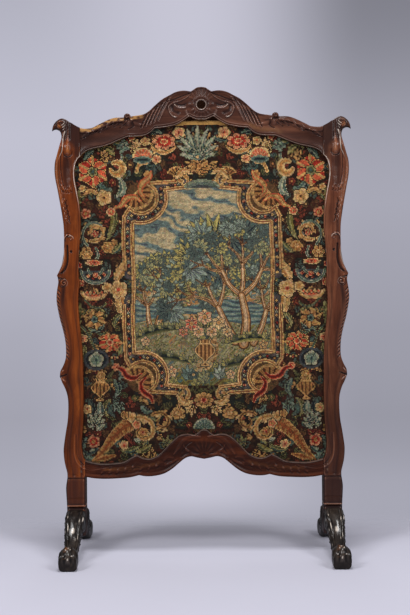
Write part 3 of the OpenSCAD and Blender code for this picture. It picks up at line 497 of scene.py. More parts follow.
def bird_head(bm, side):
    """Adds a bird's head that looks outwards, the same in front and behind."""
    skyline = np.vstack([[[338, HEAD_LOW]], head_edge[head_edge[:, 0] > HEAD_IN]])
    outline = np.vstack([skyline, [[HEAD_IN, skyline[-1, 1] - 0.4], [HEAD_IN, HEAD_LOW]]])
    low, high = outline.min(axis=0), outline.max(axis=0)
    count = np.ceil((high - low) / HEAD_PITCH).astype(int)
    layers = mark_layers(bm)
    made = bmesh.ops.create_grid(bm, x_segments=int(count[0]), y_segments=int(count[1]), size=0.5)["verts"]
    places = np.array([vert.co[:2] for vert in made]) + 0.5
    x, z = (low + places * (high - low)).T
    closed = np.vstack([outline, outline[:1]])
    d, share, _ = measure(x, z, closed)
    inside = within(x, z, outline)
    keep = inside | (d < 0.55 * HEAD_PITCH)
    c = Carving(x, z)
    carve_head(c)
    swell = np.clip(measure(x, z, skyline)[0] / 13.5, 0, 1)
    bulge = HEAD_DEPTH * np.sqrt(1 - (1 - swell) ** 2)
    bulge = np.where(x > 345, np.minimum(bulge, 9.5 + 0.5 * (352 - x)), bulge)
    depth = np.where(inside, bulge + c.height * smooth(0.5, 3, d), 0)
    steps = np.diff(closed, axis=0)
    lengths = np.concatenate([[0], np.cumsum(np.hypot(*steps.T))])
    rim_x = np.interp(share * lengths[-1], lengths, closed[:, 0])
    rim_z = np.interp(share * lengths[-1], lengths, closed[:, 1])
    for vert, px, pz, out, tone, age, rub in zip(made, x * side, z, depth, np.clip(c.height / 2, -1, 1),
                                                 np.clip(c.age, -1, 1), np.clip(c.rub, 0, 1)):
        vert.co = (px * MM, -out * MM, pz * MM)
        for layer, value in zip(layers, (tone, age, rub)):
            vert[layer] = value
    bmesh.ops.delete(bm, geom=[vert for vert, kept in zip(made, keep) if not kept], context="VERTS")
    left = [(vert, rx, rz) for vert, rx, rz, kept in zip(made, rim_x * side, rim_z, keep) if kept]
    for vert, rx, rz in left:
        if vert.is_boundary:
            vert.co = (rx * MM, 0, rz * MM)
    front = [vert for vert, _, _ in left]
    faces = {face for vert in front for face in vert.link_faces}
    copy = bmesh.ops.duplicate(bm, geom=list(faces))["geom"]
    behind = [item for item in copy if isinstance(item, bmesh.types.BMVert)]
    for vert in behind:
        vert.co.y = -vert.co.y
    bmesh.ops.remove_doubles(bm, verts=front + behind, dist=1e-6)


# Carving of the top rail, for its right half
TOP_ROWS, TOP_COLUMNS = 560, 76


def carve_crest(c, low, high):
    """Cuts the mouldings, lapping leaves, scroll knobs and the crest's shell into the top rail."""
    a, b, h = c.z - low, high - c.z, high - low
    x, z = c.x, c.z
    wing = smooth(135, 175, x)
    c.height += bead(a, 1.4, 1.4, 1.7) + 0.9 * np.exp(-((a - 6.0) / 1.7) ** 2)
    c.height += wing * bead(b, 6.5, 6.5, 4.2) + (1 - wing) * bead(b, 2.4, 2.4, 1.6)
    c.height -= wing * 2.2 * np.sin(np.pi * np.clip((a - 8) / (h - 22), 0, 1)) ** 0.8
    # Leaves that lap outwards and down over the cove, each with a fold under it and painted shade in the fold
    for k in range(9):
        spot = 184 + 12.2 * k + 3 * math.sin(2.1 * k)
        edge = float(np.interp(spot, crest_edge[:, 0], crest_edge[:, 1]))
        drop = 21 + 4 * math.sin(1.7 * k + 1)
        c.ridge([(spot - 16, edge - 9), (spot, edge - 0.6 * drop), (spot + 9, edge - drop)], [5, 6.5, 3.4], 1.7)
        fold = [(spot - 6, edge - 12), (spot + 8, edge - 0.85 * drop - 2), (spot + 14, edge - drop - 1)]
        c.ridge(fold, [1.6, 2.4, 1.6], -1.5)
        c.stain(fold, [2, 4, 3], -0.5)
    # The scroll knob, the boss under it and a leaf on each side
    c.volute((KNOB_X, KNOB_Z - 1), 6.5, 0.9, 150, -1, 2.6, 1.8)
    c.knob((KNOB_X - 3, KNOB_Z - 17), 9, 3.0)
    c.ridge([(KNOB_X - 12, KNOB_Z - 12), (KNOB_X - 14, KNOB_Z - 24), (KNOB_X - 3, KNOB_Z - 30)], 3, -1.5)
    c.ridge([(170, 1048), (156, 1040), (142, 1038)], [4, 7, 3], 1.8)
    # Long flutes that sweep down the crest's shoulders, with painted shade in their grooves and faint painted
    # highlights on them
    for k in range(5):
        top = np.array([73.0 + 13 * k, 1103.0 - 9.3 * k])
        reach = 1 - 0.09 * k
        c.ridge([top, top + [14 * reach, -24 * reach], top + [30 * reach, -57 * reach]], [2.4, 4.4, 2.4], 1.5)
        groove = [top + [7, -1], top + [21 * reach, -24 * reach], top + [35 * reach, -54 * reach]]
        c.ridge(groove, [1.4, 2.8, 1.2], -1.6)
        c.stain(groove, [1.6, 3.4, 1.4], -0.8)
        c.gleam([top + [2, -5], top + [13 * reach, -24 * reach], top + [29 * reach, -54 * reach]], 1.1, [0.05, 0.2, 0.05])
    # Beside the shell: a leaf over an S-scroll that curls in to a knob, and a small leaf inside the curl, with painted
    # shade under the leaves and in the curl, and painted highlights on the scroll and the small leaves
    c.ridge([(26, 1121), (50, 1116), (74, 1104)], [5, 7, 4], 1.5)
    c.ridge([(24, 1115), (44, 1108), (66, 1099), (82, 1094)], [1.4, 2.8, 2.6, 1.2], -1.6)
    c.stain([(30, 1112), (48, 1106), (72, 1097)], [2, 4, 2], -0.7)
    scroll = [(26, 1110), (40, 1101), (54, 1094.5), (69, 1090.5), (78, 1083), (78, 1074), (74.5, 1065), (68, 1058.5),
              (61, 1056)]
    c.roll(scroll, [1.6, 2.2, 2.6, 3, 3.2, 3.2, 3, 2.8, 2.4], 1.8)
    c.gleam(scroll, 1.2, [0.2, 0.3, 0.2, 0.1, 0.25, 0.3, 0.35, 0.5, 1])
    c.knob((61, 1057), 4, 1.8)
    c.ridge([(70, 1082), (67, 1072), (56, 1067)], [5, 8, 7], -2.2)
    c.stain([(70, 1080), (66, 1071), (52, 1066)], [5, 7, 6], -0.3)
    inner_leaf = [(64.5, 1087), (59, 1081.5), (50, 1078), (38, 1079.5)]
    c.ridge(inner_leaf, [1.8, 3.2, 3.8, 2.6], 2.4)
    c.gleam(inner_leaf, [1.2, 1.6, 1.2, 1.6], [0.8, 0.45, 0.2, 0.6])
    c.ridge([(60, 1088), (50, 1085), (38, 1086)], [1.6, 2.4, 1.6], -1.8)
    c.stain([(60, 1089), (50, 1086), (36, 1089)], [2, 4, 4], -0.8)
    c.ridge([(37, 1072), (34, 1064), (29, 1056)], [2, 3.4, 2.4], 1.6)
    c.gleam([(38, 1071), (35, 1063), (31, 1057)], 1.1, 0.35)
    # The shell round the eye: soft ribs above and below, and the eye's thin rim
    for angle in range(34, 148, 16):
        c.ridge([arc((0, EYE_Z), r, angle, angle, 1)[0] for r in (15, 27, 38)], [2, 4, 5], [0.4, 1.1, 0.8])
    for angle in range(212, 330, 19):
        c.ridge([arc((0, EYE_Z), r, angle, angle, 1)[0] for r in (16, 24, 32)], [2.4, 4.4, 4.8], [0.3, 0.8, 0.5])
    for angle in (4, 176):
        c.knob(arc((0, EYE_Z), 24, angle, angle, 1)[0], 9, 1.8)
    r = np.hypot(x, z - EYE_Z)
    c.height += 2.0 * np.exp(-((r - 12.4) / 1.5) ** 2) + 1.4 * np.exp(-((r - 19) / 4) ** 2)
    # Painted highlights along the lower bead, on the eye's rim and on the second bead near the middle; painted shade in
    # the hollow between the two beads; the middle darker
    c.rub += 0.3 * np.exp(-((a - 1.5) / 1.1) ** 2) + 0.5 * np.exp(-((r - 11.8) / 1.0) ** 2)
    c.rub += 0.22 * (1 - smooth(110, 125, x)) * np.exp(-((a - 7.5) / 1.0) ** 2)
    c.age -= 0.4 * np.exp(-((a - 4.2) / 1.3) ** 2)
    c.stain([(0, 1124), (0, 1052)], 44, -0.5)
    return c


def knob_height(x, edge):
    """The silhouette of the top rail with its two scroll knobs."""
    rise = np.clip(KNOB_R ** 2 - (np.abs(x) - KNOB_X) ** 2, 0, None)
    return np.where(rise > 0, np.maximum(edge, KNOB_Z + np.sqrt(rise)), edge)


def top_rail():
    """The carved board of the top rail, with its round eye bored through."""
    x = np.linspace(-TOP_HALF, TOP_HALF, TOP_ROWS)
    low = np.interp(np.abs(x), *arch_edge.T)
    high = knob_height(x, np.interp(np.abs(x), *crest_edge.T))
    z = low[:, None] + 0.7 + (high - low - 1.9)[:, None] * shares(TOP_COLUMNS)[None, :]
    places = np.broadcast_to(x[:, None], z.shape)
    carving = carve_crest(Carving(np.abs(places), z), low[:, None], high[:, None])
    # The top edge's left half is worn pale gold in patches, with painted light falling on it from the left
    worn_and_lit_rim = smooth(13, 5, high[:, None] - z) * smooth(-130, -160, places)
    carving.age += worn_and_lit_rim * (2.6 * mottle(places, z, 8, 3.5, 2) - 0.5)
    # Red light wood shows on the right, under the scroll knob
    shows = smooth(95, 125, places) * (1 - smooth(185, 215, places))
    carving.age += 0.27 * shows * np.exp(-((z - low[:, None] - 14) / 9) ** 2)
    loops = ring_of([
        (places, CHANNEL - carving.height, z),
        (x, -15.5, high - 0.3), (x, -13, high), (x, -10, high), (x, SLOT_FRONT, high - 0.5),
        (x, SLOT_FRONT, 0.7 * high + 0.3 * low), (x, SLOT_FRONT, 0.3 * high + 0.7 * low),
        (x, SLOT_FRONT, low + 0.5), (x, -10, low), (x, -13.5, low), (x, -16.5, low)])
    bm = bmesh.new()
    skin(bm, loops, carving.marks())
    rail = finish(bm, "top_rail_carved")
    cutter = bmesh.new()
    bore = bmesh.ops.create_cone(cutter, cap_ends=True, segments=96, radius1=EYE_R * MM, radius2=EYE_R * MM,
                                 depth=60 * MM)["verts"]
    bmesh.ops.rotate(cutter, verts=bore, matrix=rotation("X", 90))
    bmesh.ops.translate(cutter, verts=bore, vec=(0, -15 * MM, EYE_Z * MM))
    return bored(rail, finish(cutter, "eye_bore"))


def rotation(axis, degrees):
    """A turn about one axis, as a 3 x 3 matrix."""
    return Matrix.Rotation(math.radians(degrees), 3, axis)


def bored(piece, cutter):
    """The piece with the cutter's shape taken out of it."""
    cut = piece.modifiers.new("bore", "BOOLEAN")
    cut.operation = "DIFFERENCE"
    cut.solver = "EXACT"
    cut.object = cutter
    bpy.context.view_layer.update()
    shape = piece.evaluated_get(bpy.context.evaluated_depsgraph_get())
    mesh = bpy.data.meshes.new_from_object(shape)
    mesh.name = piece.name
    piece.modifiers.clear()
    piece.data = mesh
    bpy.data.objects.remove(cutter)
    return piece


# Carving of the apron, for its right half
LOW_ROWS, LOW_COLUMNS = 520, 60


def carve_apron(c, low, high):
    """Cuts the mouldings, the low leaf band and the middle cartouche into the apron."""
    a, b, h = c.z - low, high - c.z, high - low
    x, z = c.x, c.z
    c.height += bead(b, 1.5, 1.5, 1.8) + 0.8 * np.exp(-((b - 6.0) / 1.8) ** 2)
    c.height += 1.5 * np.exp(-((a - 4.5) / 3.2) ** 2) - 0.9 * np.exp(-((a - 11) / 2.4) ** 2)
    # A line that runs on from the upright's corner
    c.ridge([(289, 206), (270, 203), (244, 207), (222, 212)], [2.6, 2.6, 2.2, 0.8], 1.1)
    c.ridge([(289, 213), (270, 210), (244, 213)], [2.2, 2.0, 0.8], -0.8)
    # Low lapping leaves along the band
    for k in range(9):
        spot = 88 + 19.0 * k
        mid = float(np.interp(spot, sill_edge[:, 0], sill_edge[:, 1]) * 0.5 + np.interp(spot, *skirt_edge.T) * 0.5)
        c.ridge([(spot - 12, mid + 3), (spot, mid + 5), (spot + 10, mid - 4)], [4, 7, 3], 1.3)
        c.ridge([(spot - 8, mid - 6), (spot + 2, mid - 5), (spot + 12, mid - 11)], [2, 3.4, 2], -0.8)
    # The cartouche: a low shell between two pairs of curling leaves
    for angle in range(38, 146, 21):
        c.ridge([arc((0, 236), r, angle, angle, 1)[0] for r in (8, 24, 38)], [2.4, 5, 6], [0.8, 1.6, 0.8])
    c.ridge([(10, 282), (28, 284), (46, 276), (60, 258), (74, 240)], [3, 6, 8, 7, 3], 2.0)
    c.ridge([(30, 270), (42, 262), (54, 244)], [2, 3, 2], -1.3)
    c.ridge([(4, 240), (24, 240), (42, 250), (50, 262)], [3, 5, 5, 2], 1.6)
    c.ridge([(56, 232), (76, 222), (96, 214)], [3, 6, 2], 1.3)
    # A painted highlight along the top bead; the cartouche darker and the band beside it a little golden
    c.rub += 0.3 * np.exp(-((b - 1.5) / 1.2) ** 2)
    c.stain([(60, 240), (0, 262), (0, 250)], [14, 24, 24], -0.35)
    c.stain([(110, 220), (170, 208), (240, 205)], [10, 14, 10], 0.22)
    return c


def bottom_rail():
    """The carved apron, with the groove that takes the leaf's lower edge."""
    x = np.linspace(-LOW_HALF, LOW_HALF, LOW_ROWS)
    low = np.interp(np.abs(x), *skirt_edge.T)
    high = np.interp(np.abs(x), *sill_edge.T)
    rest = np.minimum(np.interp(np.abs(x), *leaf_foot_edge.T) - 0.3, high - 2)
    z = low[:, None] + 1.0 + (high - low - 1.8)[:, None] * shares(LOW_COLUMNS)[None, :]
    places = np.broadcast_to(x[:, None], z.shape)
    carving = carve_apron(Carving(np.abs(places), z), low[:, None], high[:, None])
    loops = ring_of([
        (places, CHANNEL - carving.height, z),
        (x, -16.6, high), (x, -13, high), (x, -8.6, high), (x, SLOT_FRONT, high - 0.6), (x, SLOT_FRONT, rest),
        (x, 0, rest), (x, SLOT_BACK, rest), (x, SLOT_BACK, high - 0.6), (x, 7.6, high), (x, 14, high),
        (x, 19.5, high), (x, BACK, high - 1.5), (x, BACK, 0.7 * high + 0.3 * low),
        (x, BACK, 0.3 * high + 0.7 * low), (x, BACK, low + 2.5), (x, 20, low + 0.8), (x, 18, low),
        (x, 10, low), (x, 0, low), (x, -10, low), (x, -15.6, low + 0.2)])
    bm = bmesh.new()
    skin(bm, loops, carving.marks())
    return finish(bm, "bottom_rail_carved")


# The feet, each from its side view
FOOT_ROWS, FOOT_POINTS = 210, 96


def foot(name, side, front):
    """A scroll foot: an acanthus leaf down its top, a small volute on each flank and a curled toe."""
    s = np.linspace(0, 1, FOOT_ROWS)
    y = 183.3 * (1 - (1 - s) ** 1.25)
    over = spline(FOOT_OVER)
    order = np.argsort(over[:, 0], kind="stable")
    top = np.interp(y, over[order, 0], over[order, 1])
    under = spline(FOOT_UNDER)
    base = np.interp(y, np.append(under[:, 0], [178, 181, 183.3]), np.append(under[:, 1], [0, 3, 14]))
    half = np.interp(y, *spline(FOOT_PLAN).T) * (1 if front else 1 - 0.2 * smooth(120, 150, y))
    angle = np.linspace(0, 2 * np.pi, FOOT_POINTS, endpoint=False)
    power = 0.42 + 0.3 * smooth(135, 155, y)[:, None] * smooth(-0.2, 0.4, np.sin(angle))
    u = np.sign(np.cos(angle)) * np.abs(np.cos(angle)) ** power
    v = np.sign(np.sin(angle)) * np.abs(np.sin(angle)) ** power
    x = half[:, None] * u
    z = (top + base)[:, None] / 2 + ((top - base)[:, None] / 2) * v
    loops = np.stack([x, np.broadcast_to(y[:, None], x.shape), z], axis=2)
    # Carving across the top and down the flanks: q runs from -1 to 1 over the top, t from the post to the toe
    q = np.broadcast_to(u, x.shape)
    upper = smooth(0.25, 0.75, v)
    flank = 1 - smooth(0.5, 0.95, np.abs(v))
    t = y[:, None] / 183.3
    leaf = smooth(0.02, 0.12, t) * (1 - smooth(0.60, 0.76, t))
    ribs = 1.4 * np.cos(2 * np.pi * (3.1 * q + 0.2 * np.sin(9 * t))) * (0.6 + 0.4 * np.sin(34 * t + 7 * q))
    edge = -1.5 * np.abs(np.sin(np.pi * (5 * t + 0.4 * np.abs(q)))) ** 6 * smooth(0.5, 0.9, np.abs(q))
    toe = smooth(0.76, 0.86, t)
    lobes = 4.0 * (np.abs(np.cos(1.5 * np.pi * q)) ** 0.6 - 0.8) * toe
    collar = 1.3 * np.exp(-((y[:, None] - 3) / 1.8) ** 2) - 1.6 * np.exp(-((y[:, None] - 8) / 2.2) ** 2)
    flat = Carving(loops[..., 1], loops[..., 2])
    flat.volute((160, 27), 19, 1.7, 150, -1, 3.0, 1.5)
    flat.volute((20, 88), 13, 1.3, 60, 1, 2.4, 1.4)
    for k in range(6):
        start = np.array([34 + 15 * k, 102 - 12.5 * k])
        flat.ridge([start, start + [-9, -10], start + [-12, -22]], [1.0, 2.6, 1.0], -1.5)
    flat.ridge([(8, 72), (40, 72), (70, 58), (100, 38), (128, 22)], [1, 2.4, 2.6, 2.2, 1], 1.3)
    carving = Carving(x, z)
    carving.height = upper * ((ribs + edge) * leaf + lobes) + collar + flank * flat.height
    crown = smooth(0.8, 1.0, v) * toe
    carving.age = 1.7 * crown * mottle(x, z, 7, 5, 5) ** 2 - 0.5
    # Painted highlights: broken streaks along the leaf's ribs, a line on the collar and sparkles on the toe's crown
    highlight_streak = smooth(0.5, 1.2, ribs) * smooth(0.12, 0.25, t) * (1 - smooth(0.5, 0.66, t))
    carving.rub = upper * (highlight_streak * smooth(0.45, 0.65, mottle(x, y[:, None] + 0 * x, 5, 14, 8)) * np.ones_like(x)
                           + 0.3 * np.exp(-((y[:, None] - 3) / 1.6) ** 2))
    carving.rub += 0.8 * crown * smooth(0.7, 0.85, mottle(x, z, 5, 4, 9))
    loops = loops + grid_normals(loops) * -carving.height[..., None]
    loops[..., 2] = np.maximum(loops[..., 2], 0)
    place = loops + [0, BACK, 0]
    place = place * [1, -1 if front else 1, 1] + [side * FOOT_X, 0, 0]
    bm = bmesh.new()
    skin(bm, place, carving.marks())
    return finish(bm, name, sharp=60)


# Wools and silks of the needlework, as they look on a screen
EARTH, BARK, RUST, TAN = (40, 25, 18), (74, 44, 27), (132, 72, 40), (158, 112, 66)
GOLD, STRAW, CREAM, PEARL = (168, 118, 66), (186, 146, 94), (200, 168, 120), (156, 156, 134)
WINE, RED, CORAL, ROSE = (92, 28, 24), (160, 48, 36), (190, 88, 60), (194, 134, 100)
NAVY, SLATE, TEAL, FOAM = (28, 34, 40), (66, 70, 74), (64, 84, 80), (112, 126, 112)
OLIVE, MOSS, SAGE = (112, 102, 50), (72, 72, 44), (140, 132, 88)
HAZEL, SOIL, CLARET, PINE, GREYISH = (92, 66, 42), (56, 37, 26), (60, 29, 21), (32, 36, 32), (88, 78, 78)
THREAD = {"coral": [CREAM, ROSE, CORAL, RED, CORAL], "cream": [CREAM, STRAW, GOLD], "red": [ROSE, RED, WINE],
          "gold": [STRAW, GOLD, TAN, RUST], "tan": [STRAW, TAN, BARK], "teal": [FOAM, TEAL, NAVY],
          "sage": [SAGE, MOSS, TEAL], "olive": [SAGE, OLIVE, MOSS], "pink": [CREAM, ROSE, CORAL],
          "line": [BARK, STRAW, CREAM, STRAW, RUST], "navy": [SLATE, NAVY, NAVY], "foam": [PEARL, FOAM, TEAL],
          "husk": [HAZEL, SOIL, BARK], "dusk": [(76, 86, 78), TEAL, NAVY], "channel": [SLATE, GREYISH, GREYISH],
          "wine": [(122, 60, 44), WINE, CLARET], "moss": [(92, 88, 56), MOSS, PINE],
          "poppy": [STRAW, CORAL, RED], "tangerine": [CORAL, TAN, STRAW],
          "bark": [BARK, TAN, (180, 142, 102), (192, 156, 116)], "lime": [(154, 138, 80), (118, 108, 58), PINE],
          "mist": [(124, 132, 114), (92, 104, 96), SLATE]}
STITCH = 2.4


def arc(centre, radius, low, high, points=24):
    """Part of a circle or an oval, between two angles in degrees."""
    angle = np.radians(np.linspace(low, high, points))
    return np.asarray(centre) + np.column_stack([np.cos(angle), np.sin(angle)]) * np.asarray(radius)


def mottle(x, z, width, height, seed):
    """Soft random shading from 0 to 1, with patches of a width and a height in millimetres."""
    grid = np.random.default_rng(seed).random((64, 64))
    u, v = x / width + 32, z / height
    i, j = np.floor(u).astype(int), np.floor(v).astype(int)
    a, b = smooth(0, 1, u - i), smooth(0, 1, v - j)
    corners = [grid[(j + dj) % 64, (i + di) % 64] for dj in (0, 1) for di in (0, 1)]
    low, high = (corners[k] * (1 - a) + corners[k + 1] * a for k in (0, 2))
    return low * (1 - b) + high * b


class Needlework(Places):
    """Stitches, each with a place in millimetres and a screen colour that shapes paint over."""

    def __init__(self, x, z, ground):
        super().__init__(x, z)
        self.paint = np.zeros(x.shape + (3,)) + ground
        self.ground = ground

    def cover(self, near, inside, colours):
        patch = self.paint[near]
        patch[inside] = np.broadcast_to(colours, patch.shape)[inside]
        self.paint[near] = patch

    def bands(self, near, inside, depth, shades):
        """Colours a shape in bands, from 0 at its edge to 1 in its middle."""
        pick = np.clip((depth * len(shades)).astype(int), 0, len(shades) - 1)
        self.cover(near, inside, np.array(shades, float)[pick])

    def blob(self, path, thread, step=3.0):
        """A closed shape whose bands follow its edge."""
        near = self.near(path, 0)
        x, z = self.x[near], self.z[near]
        depth = measure(x, z, np.vstack([path, path[:1]]))[0]
        self.bands(near, within(x, z, path), depth / step / len(THREAD[thread]), THREAD[thread])

    def vine(self, path, widths, thread):
        """A line or a stem, in bands from its edges to its middle."""
        near = self.near(path, np.max(widths))
        d, share, side = measure(self.x[near], self.z[near], path)
        depth = 1 - d / np.maximum(along(widths, share), 0.1)
        self.bands(near, depth > 0, depth, THREAD[thread])

    def leaf(self, path, width, thread, teeth=5):
        """A leaf with a pale vein, one lighter side, a toothed edge and a dark outline."""
        near = self.near(path, width + 2)
        d, share, side = measure(self.x[near], self.z[near], path)
        reach = width * np.sin(np.pi * np.clip(share, 0.02, 0.98) ** 0.75) ** 0.7 * (1 - 0.3 * (teeth * share % 1))
        pale, middle, dark = (np.array(THREAD[thread][k], float) for k in (0, 1, -1))
        colours = np.where((side > 0)[:, None], middle, dark)
        colours = np.where((d < 0.16 * width + 0.5)[:, None] | (d > reach - 1.6)[:, None], pale, colours)
        self.cover(near, d < reach + 1.8, self.ground)
        self.cover(near, d < reach, colours)

    def bloom(self, centre, radius, petals, thread, heart, turn=90.0):
        """A large flower of separate petals round a heart. The radius may be a pair for an oval one."""
        for k in range(petals):
            tip = arc(centre, radius, turn + 360 * k / petals, turn, petals + 1)[0]
            self.leaf(np.array([tip, centre]), 0.46 * np.mean(radius), thread, 0)
        self.flower(centre, 0.36 * np.mean(radius), 5, heart)

    def flower(self, centre, radius, petals, thread, heart=None, turn=0.0):
        """Petals round a heart. The radius may be a pair for an oval flower."""
        radii = np.broadcast_to(radius, 2).astype(float)
        near = self.near(np.array([centre]), radii.max() * 1.1 + 2)
        dx, dz = (self.x[near] - centre[0]) / radii[0], (self.z[near] - centre[1]) / radii[1]
        petal = np.abs(np.cos(petals / 2 * (np.arctan2(dz, dx) - math.radians(turn))))
        q = np.hypot(dx, dz) / (0.76 + 0.24 * petal)
        self.cover(near, q < 1 + 1.8 / radii.min(), self.ground)
        self.bands(near, q < 1, 1 - q, THREAD[thread])
        self.cover(near, (q < 0.95) & (q > 0.3) & (petal < 0.2), THREAD[thread][-1])
        if heart:
            self.bands(near, q < 0.36, 1 - q / 0.36, THREAD[heart])

    def shell(self, centre, radius, low, high, ribs, thread):
        """Ribs that spread from a centre, inside a rim."""
        near = self.near(np.array([centre]), radius)
        dx, dz = self.x[near] - centre[0], self.z[near] - centre[1]
        r = np.hypot(dx, dz) / radius
        t = ((np.degrees(np.arctan2(dz, dx)) - low) % 360) / (high - low)
        rim, rib, gap = (np.array(THREAD[thread][k], float) for k in (0, 1, -1))
        colours = np.where((np.sin(2 * np.pi * ribs * t) > -0.2)[:, None], rib, gap)
        colours = np.where((r > 0.84)[:, None] | (r < 0.14)[:, None], rim, colours)
        self.cover(near, (r < 1) & (t < 1), colours)

    def spray(self, root, length, low, high, leaves, width, thread):
        """Leaves that spread from one place, the middle ones longest."""
        for angle in np.linspace(low, high, leaves):
            lean = (angle - (low + high) / 2) / max(high - low, 1)
            reach = length * (1 - 0.45 * abs(2 * lean) ** 1.5)
            tip = arc(root, reach, angle, angle, 1)[0]
            bend = arc(root, reach * 0.55, angle - 14 * lean, angle - 14 * lean, 1)[0]
            self.leaf(spline([root, bend, tip]), width, thread)

    def scroll(self, centre, radius, turns, start, hand, stem, leaves, width=3.2, size=13):
        """A spiral stem with small leaves on its outer side."""
        path = spiral(centre, radius, turns, start, hand, 0.3 * radius)
        for k, i in enumerate(range(2, len(path) - 8, 5)):
            ahead = (path[i + 1] - path[i]) / max(np.hypot(*(path[i + 1] - path[i])), 0.1)
            away = (path[i] - centre) / np.hypot(*(path[i] - centre))
            out = away if k % 3 else -away
            tip = path[i] + size * (0.8 * ahead + 0.75 * out)
            self.leaf(spline([path[i], path[i] + size * 0.5 * out, tip]), 0.36 * size, leaves[k % len(leaves)], 3)
        self.vine(path, [width, width, 0.7 * width], stem)

    def horn(self, points, widths, thread, ribs):
        """A curved horn with ribs across it."""
        path = spline(points)
        self.vine(path, widths, thread)
        near = self.near(path, np.max(widths))
        d, share, side = measure(self.x[near], self.z[near], path)
        rib = np.abs((share * ribs + 0.12 * (d / np.max(widths)) ** 2 * ribs) % 1 - 0.5) > 0.36
        self.cover(near, rib & (d < along(widths, share) - 2), THREAD[thread][-1])

    def beads(self, path, pitch, radius, threads):
        """Small round spots in turn along a path."""
        steps = np.hypot(*np.diff(path, axis=0).T)
        along_path = np.concatenate([[0], np.cumsum(steps)])
        for k, s in enumerate(np.arange(pitch / 2, along_path[-1], pitch)):
            centre = [np.interp(s, along_path, path[:, axis]) for axis in (0, 1)]
            self.flower(centre, radius, 4, threads[k % len(threads)])

    def urn(self, centre, width, height, thread):
        """A footed vase with upright ribs and pale edges."""
        profile = np.array([[0.42, -1], [0.42, -0.86], [0.14, -0.72], [0.3, -0.5], [0.9, -0.1], [1, 0.25], [0.62, 0.6],
                            [0.5, 0.8], [0.74, 1]])
        side = np.asarray(centre) + spline(profile) * [width, height]
        outline = np.vstack([side, (side * [-1, 1] + [2 * centre[0], 0])[::-1]])
        near = self.near(outline, 2)
        x, z = self.x[near], self.z[near]
        d = measure(x, z, np.vstack([outline, outline[:1]]))[0]
        pale, middle, dark = (np.array(THREAD[thread][k], float) for k in (0, 1, -1))
        rib = np.abs((x - centre[0]) / width * 2.5 % 1 - 0.5) > 0.32
        colours = np.where(rib[:, None], dark, middle)
        colours = np.where((d < 2.6)[:, None] | (np.abs(z - centre[1] - 0.62 * height) < 2)[:, None], pale, colours)
        self.cover(near, d < 1.8, self.ground)
        self.cover(near, within(x, z, outline), colours)


# Border motifs on the right half, which the left half mirrors: places, then sizes, in millimetres
FLOWERS = [((239, 864), 20, 5, "cream", "tan"),
           ((291, 887), 9, 5, "cream", None), ((284, 825), 13, 5, "red", "gold"), ((222, 829), 12, 5, "coral", "cream"),
           ((56, 1020), 16, 5, "pink", "red"), ((91, 999), (29, 20), 7, "red", "coral"),
           ((229, 743), 15, 6, "gold", "cream"), ((281, 729), 16, 6, "tan", "cream"),
           ((206, 640), 23, 5, "cream", "coral"), ((234, 646), 13, 5, "cream", None),
           ((270, 272), 16, 5, "red", "gold"), ((150, 292), 13, 5, "gold", "red"), ((298, 656), 10, 5, "red", "cream"),
           ((302, 770), 9, 5, "cream", "red"), ((214, 452), 10, 5, "red", "cream"), ((292, 522), 12, 5, "pink", "red"),
           ((196, 262), 12, 5, "pink", "red"), ((108, 956), 12, 5, "pink", "red"),
           ((62, 338), (19, 15), 5, "tan", "cream"), ((282, 350), 12, 5, "cream", "coral"),
           ((293, 984), 11, 5, "tan", "red"), ((34, 985), 9, 5, "coral", "cream"), ((300, 700), 8, 5, "red", None),
           ((136, 1000), 12, 5, "cream", "coral"), ((170, 1010), 9, 5, "coral", None)]
LEAVES = [([(222, 884), (238, 882), (250, 896), (246, 912)], 11, "teal"),
          ([(208, 868), (194, 880), (196, 904), (206, 912)], 11, "foam"),
          ([(286, 872), (276, 884), (262, 880), (254, 868)], 10, "tan"),
          ([(226, 842), (214, 812), (222, 776), (232, 760)], 10, "olive"),
          ([(196, 752), (206, 738), (222, 728)], 9, "sage"), ([(302, 846), (304, 866), (298, 884)], 9, "olive"),
          ([(178, 706), (196, 690), (210, 668), (206, 650)], 14, "cream"),
          ([(206, 640), (200, 606), (194, 566)], 15, "cream"), ([(198, 580), (212, 566), (214, 548)], 8, "sage"),
          ([(298, 606), (302, 580), (296, 556)], 9, "olive"), ([(288, 504), (296, 478), (300, 452)], 9, "olive"),
          ([(240, 556), (256, 544), (274, 540)], 9, "teal"), ([(208, 520), (200, 500), (206, 478)], 9, "sage"),
          ([(204, 452), (198, 436), (206, 420)], 9, "teal"), ([(216, 420), (206, 398), (214, 378)], 9, "teal"),
          ([(150, 356), (138, 344), (124, 346)], 9, "teal"), ([(160, 258), (184, 248), (206, 252)], 9, "sage"),
          ([(132, 262), (148, 250), (168, 246)], 9, "olive"), ([(300, 320), (304, 292), (298, 264)], 9, "sage"),
          ([(300, 244), (284, 232), (262, 230)], 9, "teal"), ([(120, 974), (136, 966), (150, 950)], 9, "foam"),
          ([(240, 984), (224, 980), (210, 966)], 10, "olive"), ([(262, 978), (276, 968), (284, 952)], 9, "teal"),
          ([(186, 1000), (206, 996), (222, 1006)], 9, "sage"), ([(100, 1020), (118, 1024), (136, 1018)], 9, "teal"),
          ([(228, 372), (238, 350), (232, 330)], 11, "sage"), ([(252, 366), (250, 344), (260, 326)], 11, "foam"),
          ([(276, 372), (270, 348), (282, 330)], 11, "dusk"), ([(212, 362), (224, 346), (216, 330)], 10, "dusk")]
